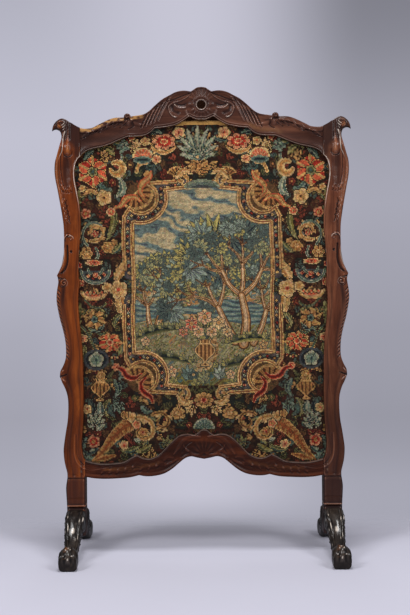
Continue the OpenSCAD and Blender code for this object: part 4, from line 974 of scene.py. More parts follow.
VINES = [([(258, 742), (252, 724), (262, 712)], 3, "foam"), ([(286, 870), (300, 850), (296, 836)], 2.8, "sage"),
         ([(270, 894), (274, 880), (286, 868)], 2.8, "sage"), ([(262, 544), (250, 532), (236, 536)], 3, "sage"),
         ([(270, 540), (274, 520), (262, 494)], 3, "sage"), ([(300, 556), (284, 540), (272, 516)], 3, "sage"),
         ([(304, 430), (298, 390), (304, 356)], 3.4, "tan"), ([(240, 440), (260, 446), (286, 440)], 3, "tan"),
         ([(150, 944), (132, 958), (112, 976), (84, 974)], 4.4, "cream"),
         ([(158, 926), (150, 944), (132, 948)], 4.4, "cream"), ([(202, 946), (192, 960), (196, 978)], 3, "foam"),
         ([(236, 606), (250, 596), (270, 600), (286, 616)], 2.8, "sage"), ([(30, 1010), (46, 1000), (66, 1004)], 3, "teal")]
SPRAYS = [((236, 946), 36, 62, 124, 5, 6, "tan"), ((161, 966), 42, 66, 128, 5, 8, "cream"),
          ((262, 300), 46, 30, 150, 7, 7, "foam"), ((206, 366), 30, 200, 330, 5, 6, "teal"),
          ((262, 560), 30, 20, 160, 7, 8, "gold"), ((270, 588), 24, 200, 340, 5, 8, "gold"),
          ((92, 254), 30, 40, 150, 5, 6, "sage"), ((30, 356), 26, 200, 340, 5, 6, "cream"),
          ((250, 1000), 24, 200, 330, 5, 6, "olive"), ((194, 800), 22, 60, 180, 4, 6, "tan")]
SMALL_THREADS = ("husk", "moss", "dusk", "husk", "wine", "husk", "moss", "dusk", "tan", "wine")


def ground(canvas):
    """Patches of dark brown, wine red and pine green, and small dim leaves and curls that grow over them."""
    pick = (mottle(canvas.x, canvas.z, 26, 26, 31) * 5.99).astype(int)
    canvas.paint[:] = np.array([EARTH, PINE, EARTH, CLARET, SOIL, EARTH], float)[pick]
    chance = np.random.default_rng(4)
    for k in range(600):
        place = np.array([21.5 * (k % 16) - 8, 206 + 23.5 * (k // 16)]) + 15 * chance.random(2)
        turn, size = 360 * chance.random(), 8 + 6 * chance.random()
        thread = SMALL_THREADS[int(len(SMALL_THREADS) * chance.random())]
        if k % 6 == 0:
            canvas.flower(place, size * 0.8, 5, thread, "tan")
        elif k % 3 == 1:
            canvas.vine(spiral(place, size, 1.1, turn), 2.6, thread)
        else:
            canvas.spray(place, 2.2 * size, turn, turn + 110, 3, 5.6, thread)


def flanks(canvas):
    """The flowers, vines and vessels of the border."""
    for path, width, thread in VINES:
        canvas.vine(spline(path), width, thread)
    for path, width, thread in LEAVES:
        canvas.leaf(spline(path), width, thread)
    for spray in SPRAYS:
        canvas.spray(*spray)
    # Upper corner: a large bloom, a ringed leaf, curling stems and a winged cup
    canvas.bloom((264, 927), 35, 6, "poppy", "sage")
    canvas.vine(arc((206, 935), 15, 60, 345), [5, 9, 9, 5], "cream")
    canvas.scroll((190, 990), 13, 1.2, 200, 1, "foam", ["teal"], 2.8, 9)
    canvas.shell((142, 960), 25, 0, 180, 7, "coral")
    canvas.blob(arc((142, 955), (23, 9), 0, 360), "teal")
    canvas.vine(arc((91, 996), (31, 23), 200, 340), [2, 6, 2], "cream")
    canvas.shell((60, 914), 25, 20, 190, 7, "tan")
    # A leafy roundel over a bowl of flowers
    canvas.scroll((258, 780), 38, 0.86, -60, 1, "foam", ["tan", "cream"], 3.2, 10)
    canvas.scroll((258, 780), 24, 1.2, 300, -1, "cream", ["tan", "gold"], 4.2, 10)
    canvas.flower((258, 776), 9, 5, "red", "pink")
    canvas.blob(arc((262, 686), (35, 31), 180, 360), "navy", 8)
    canvas.vine(arc((262, 686), (34, 30), 180, 360), 3.4, "foam")
    canvas.vine(arc((262, 690), (17, 13), 180, 360), 3, "foam")
    canvas.beads(arc((262, 689), (25, 21), 195, 345), 14, 4.5, ["red", "pink"])
    canvas.flower((262, 676), 7, 5, "red", "pink")
    canvas.flower((264, 706), (23, 8), 7, "coral", "red")
    canvas.blob(arc((265, 636), (31, 20), 180, 360), "pink", 4)
    canvas.vine(arc((265, 636), (31, 20), 180, 360), 2.4, "cream")
    canvas.beads(np.array([[242.0, 633], [288, 633]]), 9, 4.5, ["coral", "cream"])
    # Middle of the side: a gold flower in a curling stem, a tulip and a blue medallion
    canvas.scroll((252, 568), 32, 0.8, -50, 1, "sage", ["olive", "sage"], 3.2, 10)
    canvas.bloom((262, 568), (26, 22), 6, "tan", "teal", 20)
    canvas.shell((229, 496), 30, 15, 165, 5, "coral")
    canvas.bloom((227, 512), (28, 22), 7, "poppy", "coral", 30)
    canvas.beads(arc((218, 484), (18, 10), 190, 350), 8, 3, ["red", "cream"])
    canvas.blob(arc((262, 470), (31, 26), 0, 360), "navy", 6)
    canvas.flower((262, 470), 19, 5, "foam", "teal", 90)
    # Lower corner: an urn, a horn of plenty and a leafy scroll
    canvas.urn((250, 398), 22, 28, "tan")
    canvas.flower((250, 430), 12, 5, "gold", "cream")
    canvas.scroll((150, 296), 36, 0.9, 70, 1, "cream", ["cream", "sage", "foam"], 5.6, 17)
    canvas.scroll((104, 318), 26, 1.0, 40, 1, "tan", ["cream", "tan"], 4, 13)
    canvas.scroll((284, 262), 24, 0.9, 200, 1, "teal", ["foam", "teal"], 3, 11)
    canvas.horn([(270, 226), (248, 246), (226, 276), (202, 300), (180, 314)], [3, 8, 12, 15, 18], "gold", 9)
    canvas.horn([(262, 226), (240, 232), (216, 238)], [3, 8, 3], "gold", 5)
    for place, size, thread in (((176, 330), 13, "cream"), ((164, 312), 12, "coral"), ((192, 336), 10, "tan")):
        canvas.flower(place, size, 5, thread, "gold")
    for flower in FLOWERS:
        canvas.flower(*flower)


# Strapwork round the middle panel, on the right half: two gold lines with a beaded channel between them
PANEL_IN_X, PANEL_IN_Z, LINE, LINE_OUT, CHANNEL_MID = 16.0, 22.0, 5.6, 190.0, 180.0
SHELLS = [(149.0, CENTRE_HIGH - PANEL_IN_Z, 1), (149.0, CENTRE_LOW + PANEL_IN_Z, -1)]


def strapwork(canvas):
    """The gold lines, their corner rings with a shell inside, and their scrolled ends."""
    for x, z, up in SHELLS:
        end = CENTRE_HIGH if up > 0 else CENTRE_LOW
        corner = arc((x, z), CENTRE_R - 1, -75 * up, -198 * up)
        inner = np.vstack([[[169, 645 - 25 * up], [169, z - 60 * up]], corner, [[42, end + 3 * up]]])
        outer = np.vstack([[[LINE_OUT, 645 + 45 * up], [LINE_OUT, z - 46 * up], [179, z - 26 * up]],
                           arc((x, z), 38, -40 * up, -245 * up),
                           [[112, z + 36 * up], [64, end + 17 * up], [54, end + 28 * up]]])
        middle = np.vstack([[[CHANNEL_MID, 645 + 30 * up], [CHANNEL_MID, z - 50 * up]],
                            arc((x, z), CENTRE_R - 13, -62 * up, -205 * up), [[44, end + 11 * up]]])
        canvas.blob(arc((x, z), 38, 0, 360), "husk", 30)
        canvas.shell((x + 14, z + 14 * up), 44, 140 if up > 0 else 50, 310 if up > 0 else 220, 7, "tan")
        canvas.vine(middle, 11, "channel")
        canvas.beads(middle, 9, 3.4, ["cream", "navy", "red", "foam"])
        canvas.vine(inner, LINE, "line")
        canvas.vine(outer, LINE, "line")
        roll = "tangerine" if up > 0 else "red"
        canvas.vine(spline([(214, z - 24 * up), (198, z - 18 * up), (186, z - 2 * up), (166, z + 2 * up),
                            (152, z - 8 * up)]), [3, 7, 8, 6, 3], roll)
        canvas.vine(spline([(122, z + 62 * up), (128, z + 48 * up), (146, z + 34 * up), (152, z + 16 * up),
                            (142, z + 2 * up)]), [3, 7, 8, 6, 3], roll)
        canvas.vine(spiral((48, end + 22 * up), 17, 0.9, 250 * up, -up, 5), [3, 5, 5], "cream")
        canvas.leaf(spline([(62, end + 24 * up), (44, end + 42 * up), (22, end + 36 * up)]), 10, "cream")


def middle_motifs(canvas):
    """What stands on the middle line of the border."""
    canvas.blob(arc((0, CENTRE_HIGH + 2), (44, 20), 0, 360), "mist", 7)
    canvas.bloom((-6, 938), (26, 18), 8, "tan", "gold")
    canvas.spray((-10, 958), 82, 12, 168, 9, 9, "foam")
    canvas.flower((-10, 962), 10, 6, "teal", "cream")
    canvas.flower((0, 370), (24, 20), 8, "tan", "red")
    canvas.shell((0, 300), 26, 0, 180, 7, "foam")


def landscape(canvas):
    """A river between wooded hills, with a flower vase in front: clouds, hills, water, trees and meadow."""
    x, z = canvas.x, canvas.z
    warp = 34 * (mottle(x, z, 46, 30, 41) - 0.5) + 18 * (mottle(x, z, 19, 12, 43) - 0.5)

    def lay(where, shades, width, height, seed):
        pick = (mottle(x + warp, z + warp, width, height, seed) * 0.999 * len(shades)).astype(int)
        canvas.paint[where] = np.array(shades, float)[pick[where]]

    def bands(where, shades, pitch, slope, wander):
        wave = 0.5 - 0.5 * np.cos((z + slope * x + wander * warp) * 2 * np.pi / pitch)
        wave = 0.72 * wave + 0.28 * mottle(x, z, 16, 3, 47)
        canvas.paint[where] = np.array(shades, float)[(wave * 0.999 * len(shades)).astype(int)[where]]

    cloud, mist, haze, dawn = (88, 100, 94), (116, 118, 100), (144, 132, 102), (162, 142, 106)
    bands(z > 0, [SLATE, cloud, cloud, mist, haze, haze, dawn, dawn], 33, 0.22, 1.2)
    far_hill = 700 + 16 * np.sin(x / 46 + 1) + 9 * np.sin(x / 17)
    lay(z < far_hill, [SLATE, cloud, MOSS, mist, OLIVE, haze], 16, 8, 5)
    near_hill = 652 + 20 * np.sin(x / 62 - 1.6) + 5 * np.sin(x / 11)
    lay(z < near_hill, [OLIVE, SAGE, MOSS, haze, TAN, cloud, haze], 9, 6, 6)
    bands(z < 606 + 9 * np.sin(x / 38), [SLATE, TEAL, cloud, FOAM, mist], 13, 0.03, 0.35)
    meadow = 566 + 14 * np.sin(x / 55 + 2.4)
    lay(z < meadow, [OLIVE, MOSS, haze, SAGE, OLIVE, mist, TAN, cloud], 4, 4, 8)
    lay((z < meadow) & (np.abs(x + 40 - 60 * np.sin((z - 405) / 58)) < 17), [TAN, HAZEL, STRAW, haze], 7, 4, 9)
    lay(z < 440 + 7 * np.sin(x / 21), [MOSS, OLIVE, TEAL, OLIVE, HAZEL], 9, 5, 10)
    for root, angle, height, width, seed in (((-34, 604), 96, 34, 6, 13), ((-126, 540), 98, 60, 8, 15),
                                             ((-112, 542), 68, 74, 10, 14), ((78, 512), 116, 92, 11, 16),
                                             ((122, 508), 68, 84, 10, 12), ((98, 506), 92, 118, 14, 11)):
        tree(canvas, root, angle, height, width, seed)
    for start, end, thread in (((-168, 520), (-60, 544), "moss"), ((60, 508), (168, 516), "lime"),
                               ((-160, 474), (-30, 462), "moss"), ((30, 446), (160, 462), "moss")):
        bank = spline([start, np.add(start, end) / 2 + [0, 11], end])
        canvas.vine(bank, [3, 12, 3], thread)
        for place in bank[::2]:
            canvas.spray(place, 17, 40, 140, 4, 4, ("lime", "sage", "moss")[int(place[0]) % 3])
    for k in range(9):
        canvas.spray((-156 + 39 * k, 412 + 10 * (k % 2)), 34, 40, 140, 5, 5, ("sage", "foam", "lime", "teal")[k % 4])
    for k, (place, size) in enumerate([((-120, 470), 15), ((-78, 440), 13), ((126, 456), 16), ((146, 504), 11),
                                       ((-140, 514), 11), ((66, 432), 11), ((-24, 432), 10), ((98, 426), 10)]):
        canvas.vine(np.array([place, (place[0] + 3, place[1] - 28)]), 2, "sage")
        canvas.spray(np.add(place, (3, -26)), 22, 30, 150, 3, 5, "lime")
        canvas.bloom(place, size, 5, ("coral", "pink", "dusk", "gold")[k % 4], "cream")
    canvas.urn((4, 486), 24, 34, "tan")
    canvas.spray((4, 522), 62, 10, 170, 11, 8, "lime")
    for k, (place, size) in enumerate([((4, 572), 17), ((-28, 556), 15), ((38, 558), 15), ((-11, 536), 13),
                                       ((21, 536), 13), ((-48, 536), 11), ((58, 536), 11)]):
        canvas.bloom(place, size, 6, ("coral", "red", "cream", "pink")[k % 4], "gold")


def tree(canvas, root, angle, height, width, seed):
    """A forked tree with rounded masses of leaves behind and before its boughs."""
    chance = np.random.default_rng(seed)
    boughs = []
    grow(boughs, chance, np.array(root, float), angle, height, width)
    ends = [path[-1] for path, thick in boughs if thick < 0.5 * width]
    for end in ends:
        clump(canvas, end, 0.42 * height * (0.8 + 0.4 * chance.random()), chance)
    for path, thick in boughs[::-1]:
        canvas.vine(path, [thick, 0.62 * thick], "bark")
        for aside in (-0.4, 0.25):
            canvas.vine(path + [aside * thick, 0], [0.9, 0.5], "husk")
    for end in ends[::3]:
        clump(canvas, end + [0, 0.1 * height], 0.24 * height, chance)


def grow(boughs, chance, root, angle, length, width):
    """Adds a bough and those that fork from its end, each a path and its width."""
    tip = arc(root, length, angle, angle, 1)[0]
    bend = arc(root, 0.5 * length, angle + 24 * (chance.random() - 0.5), angle, 2)[0]
    boughs.append((spline([root, bend, tip]), width))
    if width > 3:
        for lean in (-40, 2, 38):
            turned = angle + lean + 14 * (chance.random() - 0.5)
            grow(boughs, chance, tip, turned, length * (0.6 + 0.15 * chance.random()), 0.55 * width)


def clump(canvas, place, size, chance):
    """Fans of long leaves that overlap, some dark and some light."""
    for k in range(3):
        turn = 360 * chance.random()
        spot = place + 0.3 * size * (chance.random(2) - 0.5)
        thread = ("dusk", "mist", "lime", "dusk", "sage", "lime")[int(6 * chance.random())]
        canvas.spray(spot, size * (0.75 + 0.35 * chance.random()), turn, turn + 190, 8, 0.13 * size + 2, thread)


def stitched_cloth(name, fine, covers, paint):
    """A sheet of stitches: painted cells in front, plain linen on the edges and the back."""
    count = 1 + fine
    pitch = STITCH / count
    columns, low, rows = 130 * count, 80 * count, 360 * count
    x, z = np.meshgrid((np.arange(-columns, columns) + 0.5) * pitch, (np.arange(low, low + rows) + 0.5) * pitch)
    canvas = Needlework(x, z, EARTH)
    paint(canvas)
    coarse_x, coarse_z = ((np.floor(v / STITCH) + 0.5) * STITCH for v in (x, z))
    kept = covers(coarse_x, coarse_z)
    bm = bmesh.new()
    bmesh.ops.create_grid(bm, x_segments=2 * columns, y_segments=rows, size=1)
    for vert in bm.verts:
        vert.co = (vert.co.x * columns * pitch * MM, WOOL_FRONT * MM, (low + rows * (vert.co.y + 1) / 2) * pitch * MM)
    bm.faces.ensure_lookup_table()
    cells = [(math.floor(v.x / MM / pitch) + columns, math.floor(v.z / MM / pitch) - low)
             for v in (face.calc_center_median() for face in bm.faces)]
    gone = [face for face, (i, j) in zip(bm.faces, cells) if not kept[j, i]]
    bmesh.ops.delete(bm, geom=gone, context="FACES")
    rim = [edge for edge in bm.edges if edge.is_boundary]
    made = bmesh.ops.extrude_edge_only(bm, edges=rim)["geom"]
    behind = [item for item in made if isinstance(item, bmesh.types.BMVert)]
    bmesh.ops.translate(bm, verts=behind, vec=(0, (WOOL_BACK - WOOL_FRONT) * MM, 0))
    rim = [edge for edge in bm.edges if edge.is_boundary]
    bmesh.ops.triangle_fill(bm, use_beauty=False, use_dissolve=False, edges=rim, normal=(0, 1, 0))
    piece = finish(bm, name)
    colour_stitches(piece.data, canvas, kept, pitch, columns, low)
    return piece


def colour_stitches(mesh, canvas, kept, pitch, columns, low):
    """Stores one colour for each stitch, a little uneven, as a colour attribute."""
    centres = np.empty(len(mesh.polygons) * 3)
    mesh.polygons.foreach_get("center", centres)
    centres = centres.reshape(-1, 3) / MM
    corners = np.empty(len(mesh.polygons), int)
    mesh.polygons.foreach_get("loop_total", corners)
    chance = np.random.default_rng(17)
    uneven = 1 + 0.12 * chance.standard_normal(kept.shape + (1,)) + 0.04 * chance.standard_normal(kept.shape + (3,))
    uneven += 0.34 * (mottle(canvas.x, canvas.z, 6, 4, 21)[..., None] - 0.5)
    values = np.clip(canvas.paint * uneven, 2, 250) / 255
    values = np.where(values <= 0.04045, values / 12.92, ((values + 0.055) / 1.055) ** 2.4)
    column = np.clip(np.floor(centres[:, 0] / pitch).astype(int) + columns, 0, kept.shape[1] - 1)
    row = np.clip(np.floor(centres[:, 2] / pitch).astype(int) - low, 0, kept.shape[0] - 1)
    front = np.abs(centres[:, 1] - WOOL_FRONT) < 0.01
    shades = np.where(front[:, None], values[row, column], [0.35, 0.29, 0.2])
    layer = mesh.color_attributes.new("stitch", "FLOAT_COLOR", "CORNER")
    full = np.column_stack([shades, np.ones(len(shades))])
    layer.data.foreach_set("color", np.repeat(full, corners, axis=0).ravel())


LEAF_ARC_R = (LEAF_HALF ** 2 + LEAF_CROWN ** 2) / (2 * LEAF_CROWN)
WOOL_HALF, WOOL_TOP, WOOL_RISE = LEAF_HALF - 2, LEAF_TOP - 11, 2


def in_leaf(x, z):
    """Whether a place is inside the needlework's outer edge."""
    low = np.interp(np.abs(x), leaf_foot_edge[:, 0], leaf_foot_edge[:, 1]) + WOOL_RISE
    return (np.abs(x) < WOOL_HALF) & (z > low) & (np.hypot(x, z - WOOL_TOP + LEAF_ARC_R) < LEAF_ARC_R)


def in_centre(x, z):
    """Whether a place is on the fine middle panel, with its hollow corners."""
    hollow = np.hypot(np.abs(x) - CENTRE_HALF + PANEL_IN_X,
                      np.abs(z - (CENTRE_HIGH + CENTRE_LOW) / 2) - (CENTRE_HIGH - CENTRE_LOW) / 2 + PANEL_IN_Z)
    return (np.abs(x) < CENTRE_HALF) & (z > CENTRE_LOW) & (z < CENTRE_HIGH) & (hollow > CENTRE_R)


def paint_border(canvas):
    across = canvas.x
    canvas.x = np.abs(across) + 1.6 * np.sin(canvas.z / 31 + np.sign(across))
    ground(canvas)
    flanks(canvas)
    strapwork(canvas)
    canvas.x = across
    middle_motifs(canvas)
    canvas.paint *= np.interp(canvas.z, [230, 500, 850, 960], [0.81, 0.87, 0.88, 0.95])[..., None] * [1, 0.965, 0.9]


def paint_centre(canvas):
    canvas.ground = np.array([62, 66, 58])
    landscape(canvas)
    canvas.paint *= np.interp(canvas.z, [420, 540, 640, 880], [0.94, 0.96, 1.06, 1.03])[..., None]
    canvas.x = np.abs(canvas.x) + 1.6 * np.sin(canvas.z / 31 + np.sign(canvas.x))
    strapwork(canvas)


class Socket:
    """Wraps a shader socket so that maths on it reads as an expression."""

    def __init__(self, tree, socket):
        self.tree, self.socket = tree, socket

    def maths(self, operation, *values):
        return self.tree.node("ShaderNodeMath", {"operation": operation}, dict(enumerate(values)))

    def __add__(self, other):
        return self.maths("ADD", self, other)

    def __mul__(self, other):
        return self.maths("MULTIPLY", self, other)

    def __sub__(self, other):
        return self.maths("SUBTRACT", self, other)

    def __rsub__(self, other):
        return self.maths("SUBTRACT", other, self)

    def __pow__(self, other):
        return self.maths("POWER", self, other)

    __radd__ = __add__
    __rmul__ = __mul__

    def clamp(self):
        return self.tree.node("ShaderNodeClamp", {}, {0: self})

    def above(self, low, high):
        return self.tree.node("ShaderNodeMapRange", {"interpolation_type": "SMOOTHSTEP"}, {0: self, 1: low, 2: high})


class Finish:
    """A node material with a Principled shader, built from a few short calls."""

    def __init__(self, name, **constants):
        self.material = bpy.data.materials.new(name)
        self.material.use_nodes = True
        self.nodes = self.material.node_tree.nodes
        self.links = self.material.node_tree.links
        self.shader = self.nodes["Principled BSDF"]
        for socket, value in constants.items():
            self.shader.inputs[socket.replace("_", " ")].default_value = value

    def node(self, kind, settings=None, inputs=None, output=0):
        node = self.nodes.new(kind)
        for key, value in (settings or {}).items():
            if key == "stops":
                ramp = node.color_ramp
                while len(ramp.elements) < len(value):
                    ramp.elements.new(0.5)
                for element, (place, shade) in zip(ramp.elements, value):
                    element.position = place
                    element.color = (*shade, 1)
            else:
                setattr(node, key, value)
        for key, value in (inputs or {}).items():
            if isinstance(value, Socket):
                self.links.new(value.socket, node.inputs[key])
            else:
                node.inputs[key].default_value = value
        return Socket(self, node.outputs[output])

    def place(self, scale=(1, 1, 1), turn=(0, 0, 0)):
        """The piece's own place, in metres, stretched and turned."""
        spot = self.node("ShaderNodeTexCoord", output="Object")
        return self.node("ShaderNodeMapping", {}, {"Vector": spot, "Scale": scale, "Rotation": turn})

    def noise(self, place, scale, detail=4.0, rough=0.55, twist=0.0):
        return self.node("ShaderNodeTexNoise", {}, {"Vector": place, "Scale": scale, "Detail": detail,
                                                    "Roughness": rough, "Distortion": twist}, "Fac")

    def mix(self, factor, a, b, blend="MIX"):
        return self.node("ShaderNodeMix", {"data_type": "RGBA", "blend_type": blend}, {0: factor, 6: a, 7: b}, 2)

    def mark(self, name):
        return self.node("ShaderNodeAttribute", {"attribute_name": name}, {}, "Fac")

    def colour(self, value):
        self.links.new(value.socket, self.shader.inputs["Base Color"])

    def rough(self, value):
        self.links.new(value.socket, self.shader.inputs["Roughness"])

    def bump(self, height, distance, strength=1.0):
        out = self.node("ShaderNodeBump", {}, {"Height": height, "Distance": distance, "Strength": strength})
        self.links.new(out.socket, self.shader.inputs["Normal"])


def shade(red, green, blue):
    """A colour as it looks on a screen, 0 to 255, as Blender's linear values."""
    values = np.array([red, green, blue]) / 255
    return tuple(float(v) for v in np.where(values <= 0.04045, values / 12.92, ((values + 0.055) / 1.055) ** 2.4))


def four(rgb):
    return (*rgb, 1.0)


def walnut(name, light, middle, dark, grain="Z", roughness=(0.34, 0.52), gleam=1.0, worn=(172, 112, 60),
           black=(32, 18, 17), polish=0.19, pale=(214, 200, 186), darker_towards_bottom=0.0):
    """Waxed walnut: long streaks and pores, darker towards the bottom, places worn to gold or gone black, recesses
    darkened with dark wax and painted shade, raised places lightened as a painted highlight, and pale painted
    highlights where their mark says.
    """
    f = Finish(name, Coat_Roughness=polish, Specular_IOR_Level=0.05)
    light, middle, dark, worn, black, pale = (four(shade(*rgb)) for rgb in (light, middle, dark, worn, black, pale))
    stretch = {"Z": (1, 1, 0.09), "X": (0.09, 1, 1), "Y": (1, 0.09, 1)}[grain]
    streaks = f.noise(f.place(stretch), 46, 6, 0.62, 1.2)
    bands = f.noise(f.place(stretch), 12, 3, 0.5, 0.8)
    pores = f.noise(f.place([3 * v for v in stretch]), 260, 2, 0.6)
    cloud = f.noise(f.place(), 9, 4, 0.55)
    tone, age, rub = f.mark("tone"), f.mark("age"), f.mark("rub")
    base = f.node("ShaderNodeValToRGB", {"stops": [(0.34, dark[:3]), (0.5, middle[:3]), (0.66, light[:3])]},
                  {0: (0.6 * streaks + 0.4 * bands).clamp()})
    base = f.mix(cloud.above(0.44, 0.64) * 0.4, base, dark)
    base = f.mix(pores.above(0.6, 0.72) * 0.3, base, black)
    height = f.node("ShaderNodeSeparateXYZ", {}, {0: f.place()}, "Z")
    base = f.mix((1 - height.above(0.25, 0.7)) * darker_towards_bottom, base, dark)
    # Worn gold and black finish, and the painted light and shade that strokes put in the same mark
    base = f.mix((age + 0.3 * streaks - 0.15).above(0.05, 1.0) * 0.85, base, worn)
    base = f.mix((0 - age + 0.3 * cloud - 0.15).above(0.05, 1.0) * 0.85, base, black)
    # Painted shade and dark wax in the recesses, and a painted highlight on raised places
    base = f.mix((0 - tone).above(0.05, 0.9) * 0.8, base, black)
    base = f.mix(tone.above(0.15, 0.9) * 0.4, base, light)
    # Painted highlights: the pale colour, broken up, where the highlight mark is; the same mark fills out the coat
    rub = rub * (0.2 + 1.6 * f.noise(f.place(), 120, 3, 0.6)).clamp()
    f.colour(f.mix(rub.above(0.05, 1.0) * 0.9, base, pale))
    f.rough(roughness[0] + (roughness[1] - roughness[0]) * streaks + 0.2 * (0 - tone).above(0, 0.7))
    f.links.new((gleam * (0.25 + 0.5 * tone.above(0.0, 0.8) + rub).clamp()).socket, f.shader.inputs["Coat Weight"])
    f.bump(0.5 * streaks + 0.5 * pores, 0.0002, 0.5)
    return f.material


def plain_wood(name, light, dark, grain="Z", rough=0.62):
    """Unpolished strainer wood with fine straight grain and a little dirt."""
    f = Finish(name)
    stretch = {"Z": (1, 1, 0.05), "X": (0.05, 1, 1), "Y": (1, 0.05, 1)}[grain]
    streaks = f.noise(f.place(stretch), 90, 5, 0.6)
    dirt = f.noise(f.place(), 12, 4, 0.6)
    base = f.mix(streaks.above(0.3, 0.7), four(dark), four(light))
    base = f.mix(dirt.above(0.5, 0.75) * 0.4, base, four([0.5 * v for v in dark]))
    f.colour(base)
    f.rough(rough + 0.15 * dirt)
    f.bump(streaks, 0.0002, 0.5)
    return f.material


def woven(name, light, dark, pitch, sheen=0.1, stain=0.4):
    """A plain weave with slubs and stains, at a pitch in metres."""
    f = Finish(name, Sheen_Weight=sheen, Roughness=0.85)
    warp = f.node("ShaderNodeTexWave", {"bands_direction": "X", "wave_profile": "SIN"},
                  {"Vector": f.place(), "Scale": 0.314 / pitch, "Distortion": 1.2, "Detail Scale": 6.0}, "Fac")
    weft = f.node("ShaderNodeTexWave", {"bands_direction": "Z", "wave_profile": "SIN"},
                  {"Vector": f.place(), "Scale": 0.314 / pitch, "Distortion": 1.2, "Detail Scale": 6.0}, "Fac")
    weave = 0.5 * warp + 0.5 * weft
    slub = f.noise(f.place((1, 1, 0.1)), 220, 2, 0.5)
    blot = f.noise(f.place(), 6, 5, 0.6)
    base = f.mix((0.6 * weave + 0.4 * slub).above(0.25, 0.8), four(dark), four(light))
    base = f.mix(blot.above(0.48, 0.72) * stain, base, four([0.45 * v for v in dark]))
    f.colour(base)
    f.bump(weave, pitch * 0.25, 0.9)
    return f.material


def metal(name, bright, tarnish, metallic=0.9, roughness=0.42):
    """Old hand-made metal with tarnish and fine pitting."""
    f = Finish(name, Metallic=metallic)
    patches = f.noise(f.place(), 90, 5, 0.65)
    pits = f.noise(f.place(), 900, 2, 0.5)
    f.colour(f.mix(patches.above(0.4, 0.66), four(bright), four(tarnish)))
    f.rough(roughness + 0.35 * patches.above(0.4, 0.7))
    f.bump(pits, 0.0001, 0.5)
    return f.material


def stitched(name, pitch):
    """Wool and silk stitches: each has its own colour, a slanting thread and a soft edge."""
    f = Finish(name, Sheen_Weight=0.03, Roughness=0.9, Specular_IOR_Level=0.12)
    thread = f.node("ShaderNodeAttribute", {"attribute_name": "stitch"}, {}, "Color")
    across = f.node("ShaderNodeTexWave", {"bands_direction": "X", "wave_profile": "SIN"},
                    {"Vector": f.place(), "Scale": 0.314 / pitch}, "Fac")
    up = f.node("ShaderNodeTexWave", {"bands_direction": "Z", "wave_profile": "SIN"},
                {"Vector": f.place(), "Scale": 0.314 / pitch}, "Fac")
    slant = f.node("ShaderNodeTexWave", {"bands_direction": "X", "wave_profile": "SIN"},
                   {"Vector": f.place((1, 1, 1), (0, math.radians(45), 0)), "Scale": 0.9 / pitch}, "Fac")
    fade = f.noise(f.place(), 9, 4, 0.6)
    lit = f.mix((across * up).above(0.0, 0.35) * 0.35 + 0.65, four((0.004, 0.003, 0.002)), thread)
    f.colour(f.mix(fade.above(0.5, 0.75) * 0.3, lit, four(shade(190, 176, 150)), "MULTIPLY"))
    f.bump((across * up) + 0.25 * slant, pitch * 0.3, 0.8)
    return f.material


# The finishes
# The left upright's walnut is lighter and more orange than the right one's: partly its own colour, partly painted light
# falling from the left
left_wood = walnut("walnut of the left upright", (154, 80, 28), (110, 50, 15), (60, 24, 7), darker_towards_bottom=0.3)
right_wood = walnut("walnut of the right upright", (144, 90, 62), (92, 50, 33), (46, 21, 13), darker_towards_bottom=0.8,
                    worn=(142, 92, 58))
crest_wood = walnut("walnut of the top rail", (98, 60, 44), (64, 36, 27), (40, 22, 18), "X", gleam=0.7, polish=0.22,
                    worn=(158, 116, 68))
apron_wood = walnut("walnut of the apron", (92, 44, 22), (56, 24, 13), (34, 15, 9), "X", gleam=0.4, polish=0.26)
foot_wood = walnut("blackened walnut of the feet", (70, 60, 52), (38, 31, 28), (20, 16, 15), "Y", (0.3, 0.45), 1.0,
                   worn=(128, 78, 42), black=(9, 8, 8))
back_wood = walnut("walnut of the back board", (104, 66, 44), (76, 46, 30), (48, 28, 19), "X", (0.5, 0.65), 0.05)
dark_peg = plain_wood("peg wood", shade(96, 60, 36), shade(52, 30, 18), "Y", 0.5)
strainer_wood = plain_wood("strainer wood", shade(190, 150, 98), shade(142, 104, 62), "X")
stile_wood = plain_wood("stile wood", shade(188, 148, 96), shade(138, 100, 60), "Z")
linen_cloth = woven("coarse linen", shade(196, 180, 146), shade(142, 126, 94), 0.0011)
lining_cloth = woven("back lining", shade(124, 104, 76), shade(82, 66, 46), 0.0012, stain=0.5)
gold_cloth = woven("gold braid", shade(206, 158, 80), shade(132, 88, 36), 0.0016, sheen=0.3, stain=0.25)
iron = metal("forged iron", shade(96, 92, 88), shade(58, 42, 34))
steel = metal("spring steel", shade(150, 150, 150), shade(88, 72, 62), roughness=0.34)

for node, material in {
        "top_rail_back": back_wood, "top_rail_pegs": dark_peg, "bottom_rail_pegs": dark_peg,
        "foot_pegs": plain_wood("foot peg wood", shade(96, 60, 36), shade(52, 30, 18), "X", 0.5),
        "leaf_left_stile": stile_wood, "leaf_right_stile": stile_wood, "leaf_top_rail": strainer_wood,
        "leaf_middle_rail": strainer_wood, "leaf_bottom_rail": strainer_wood, "leaf_pegs": dark_peg,
        "interlining": linen_cloth, "top_braid": gold_cloth, "back_lining": lining_cloth, "lining_tacks": iron,
        "edge_springs": steel, "spring_nails": iron}.items():
    nodes[node].data.materials.clear()
    nodes[node].data.materials.append(material)

dress(upright(-1), "frame", "walnut_upright", left_wood, "left_upright")
dress(upright(1), "frame", "walnut_upright", right_wood, "right_upright")
dress(top_rail(), "frame", "walnut_crest", crest_wood, "top_rail_front")
dress(bottom_rail(), "frame", "walnut_apron", apron_wood, "bottom_rail")
for side, left_or_right in ((-1, "left"), (1, "right")):
    for front, end in ((True, "front"), (False, "rear")):
        dress(foot(f"{left_or_right}_{end}_foot_carved", side, front), "frame", "walnut_foot", foot_wood,
              f"{left_or_right}_{end}_foot")

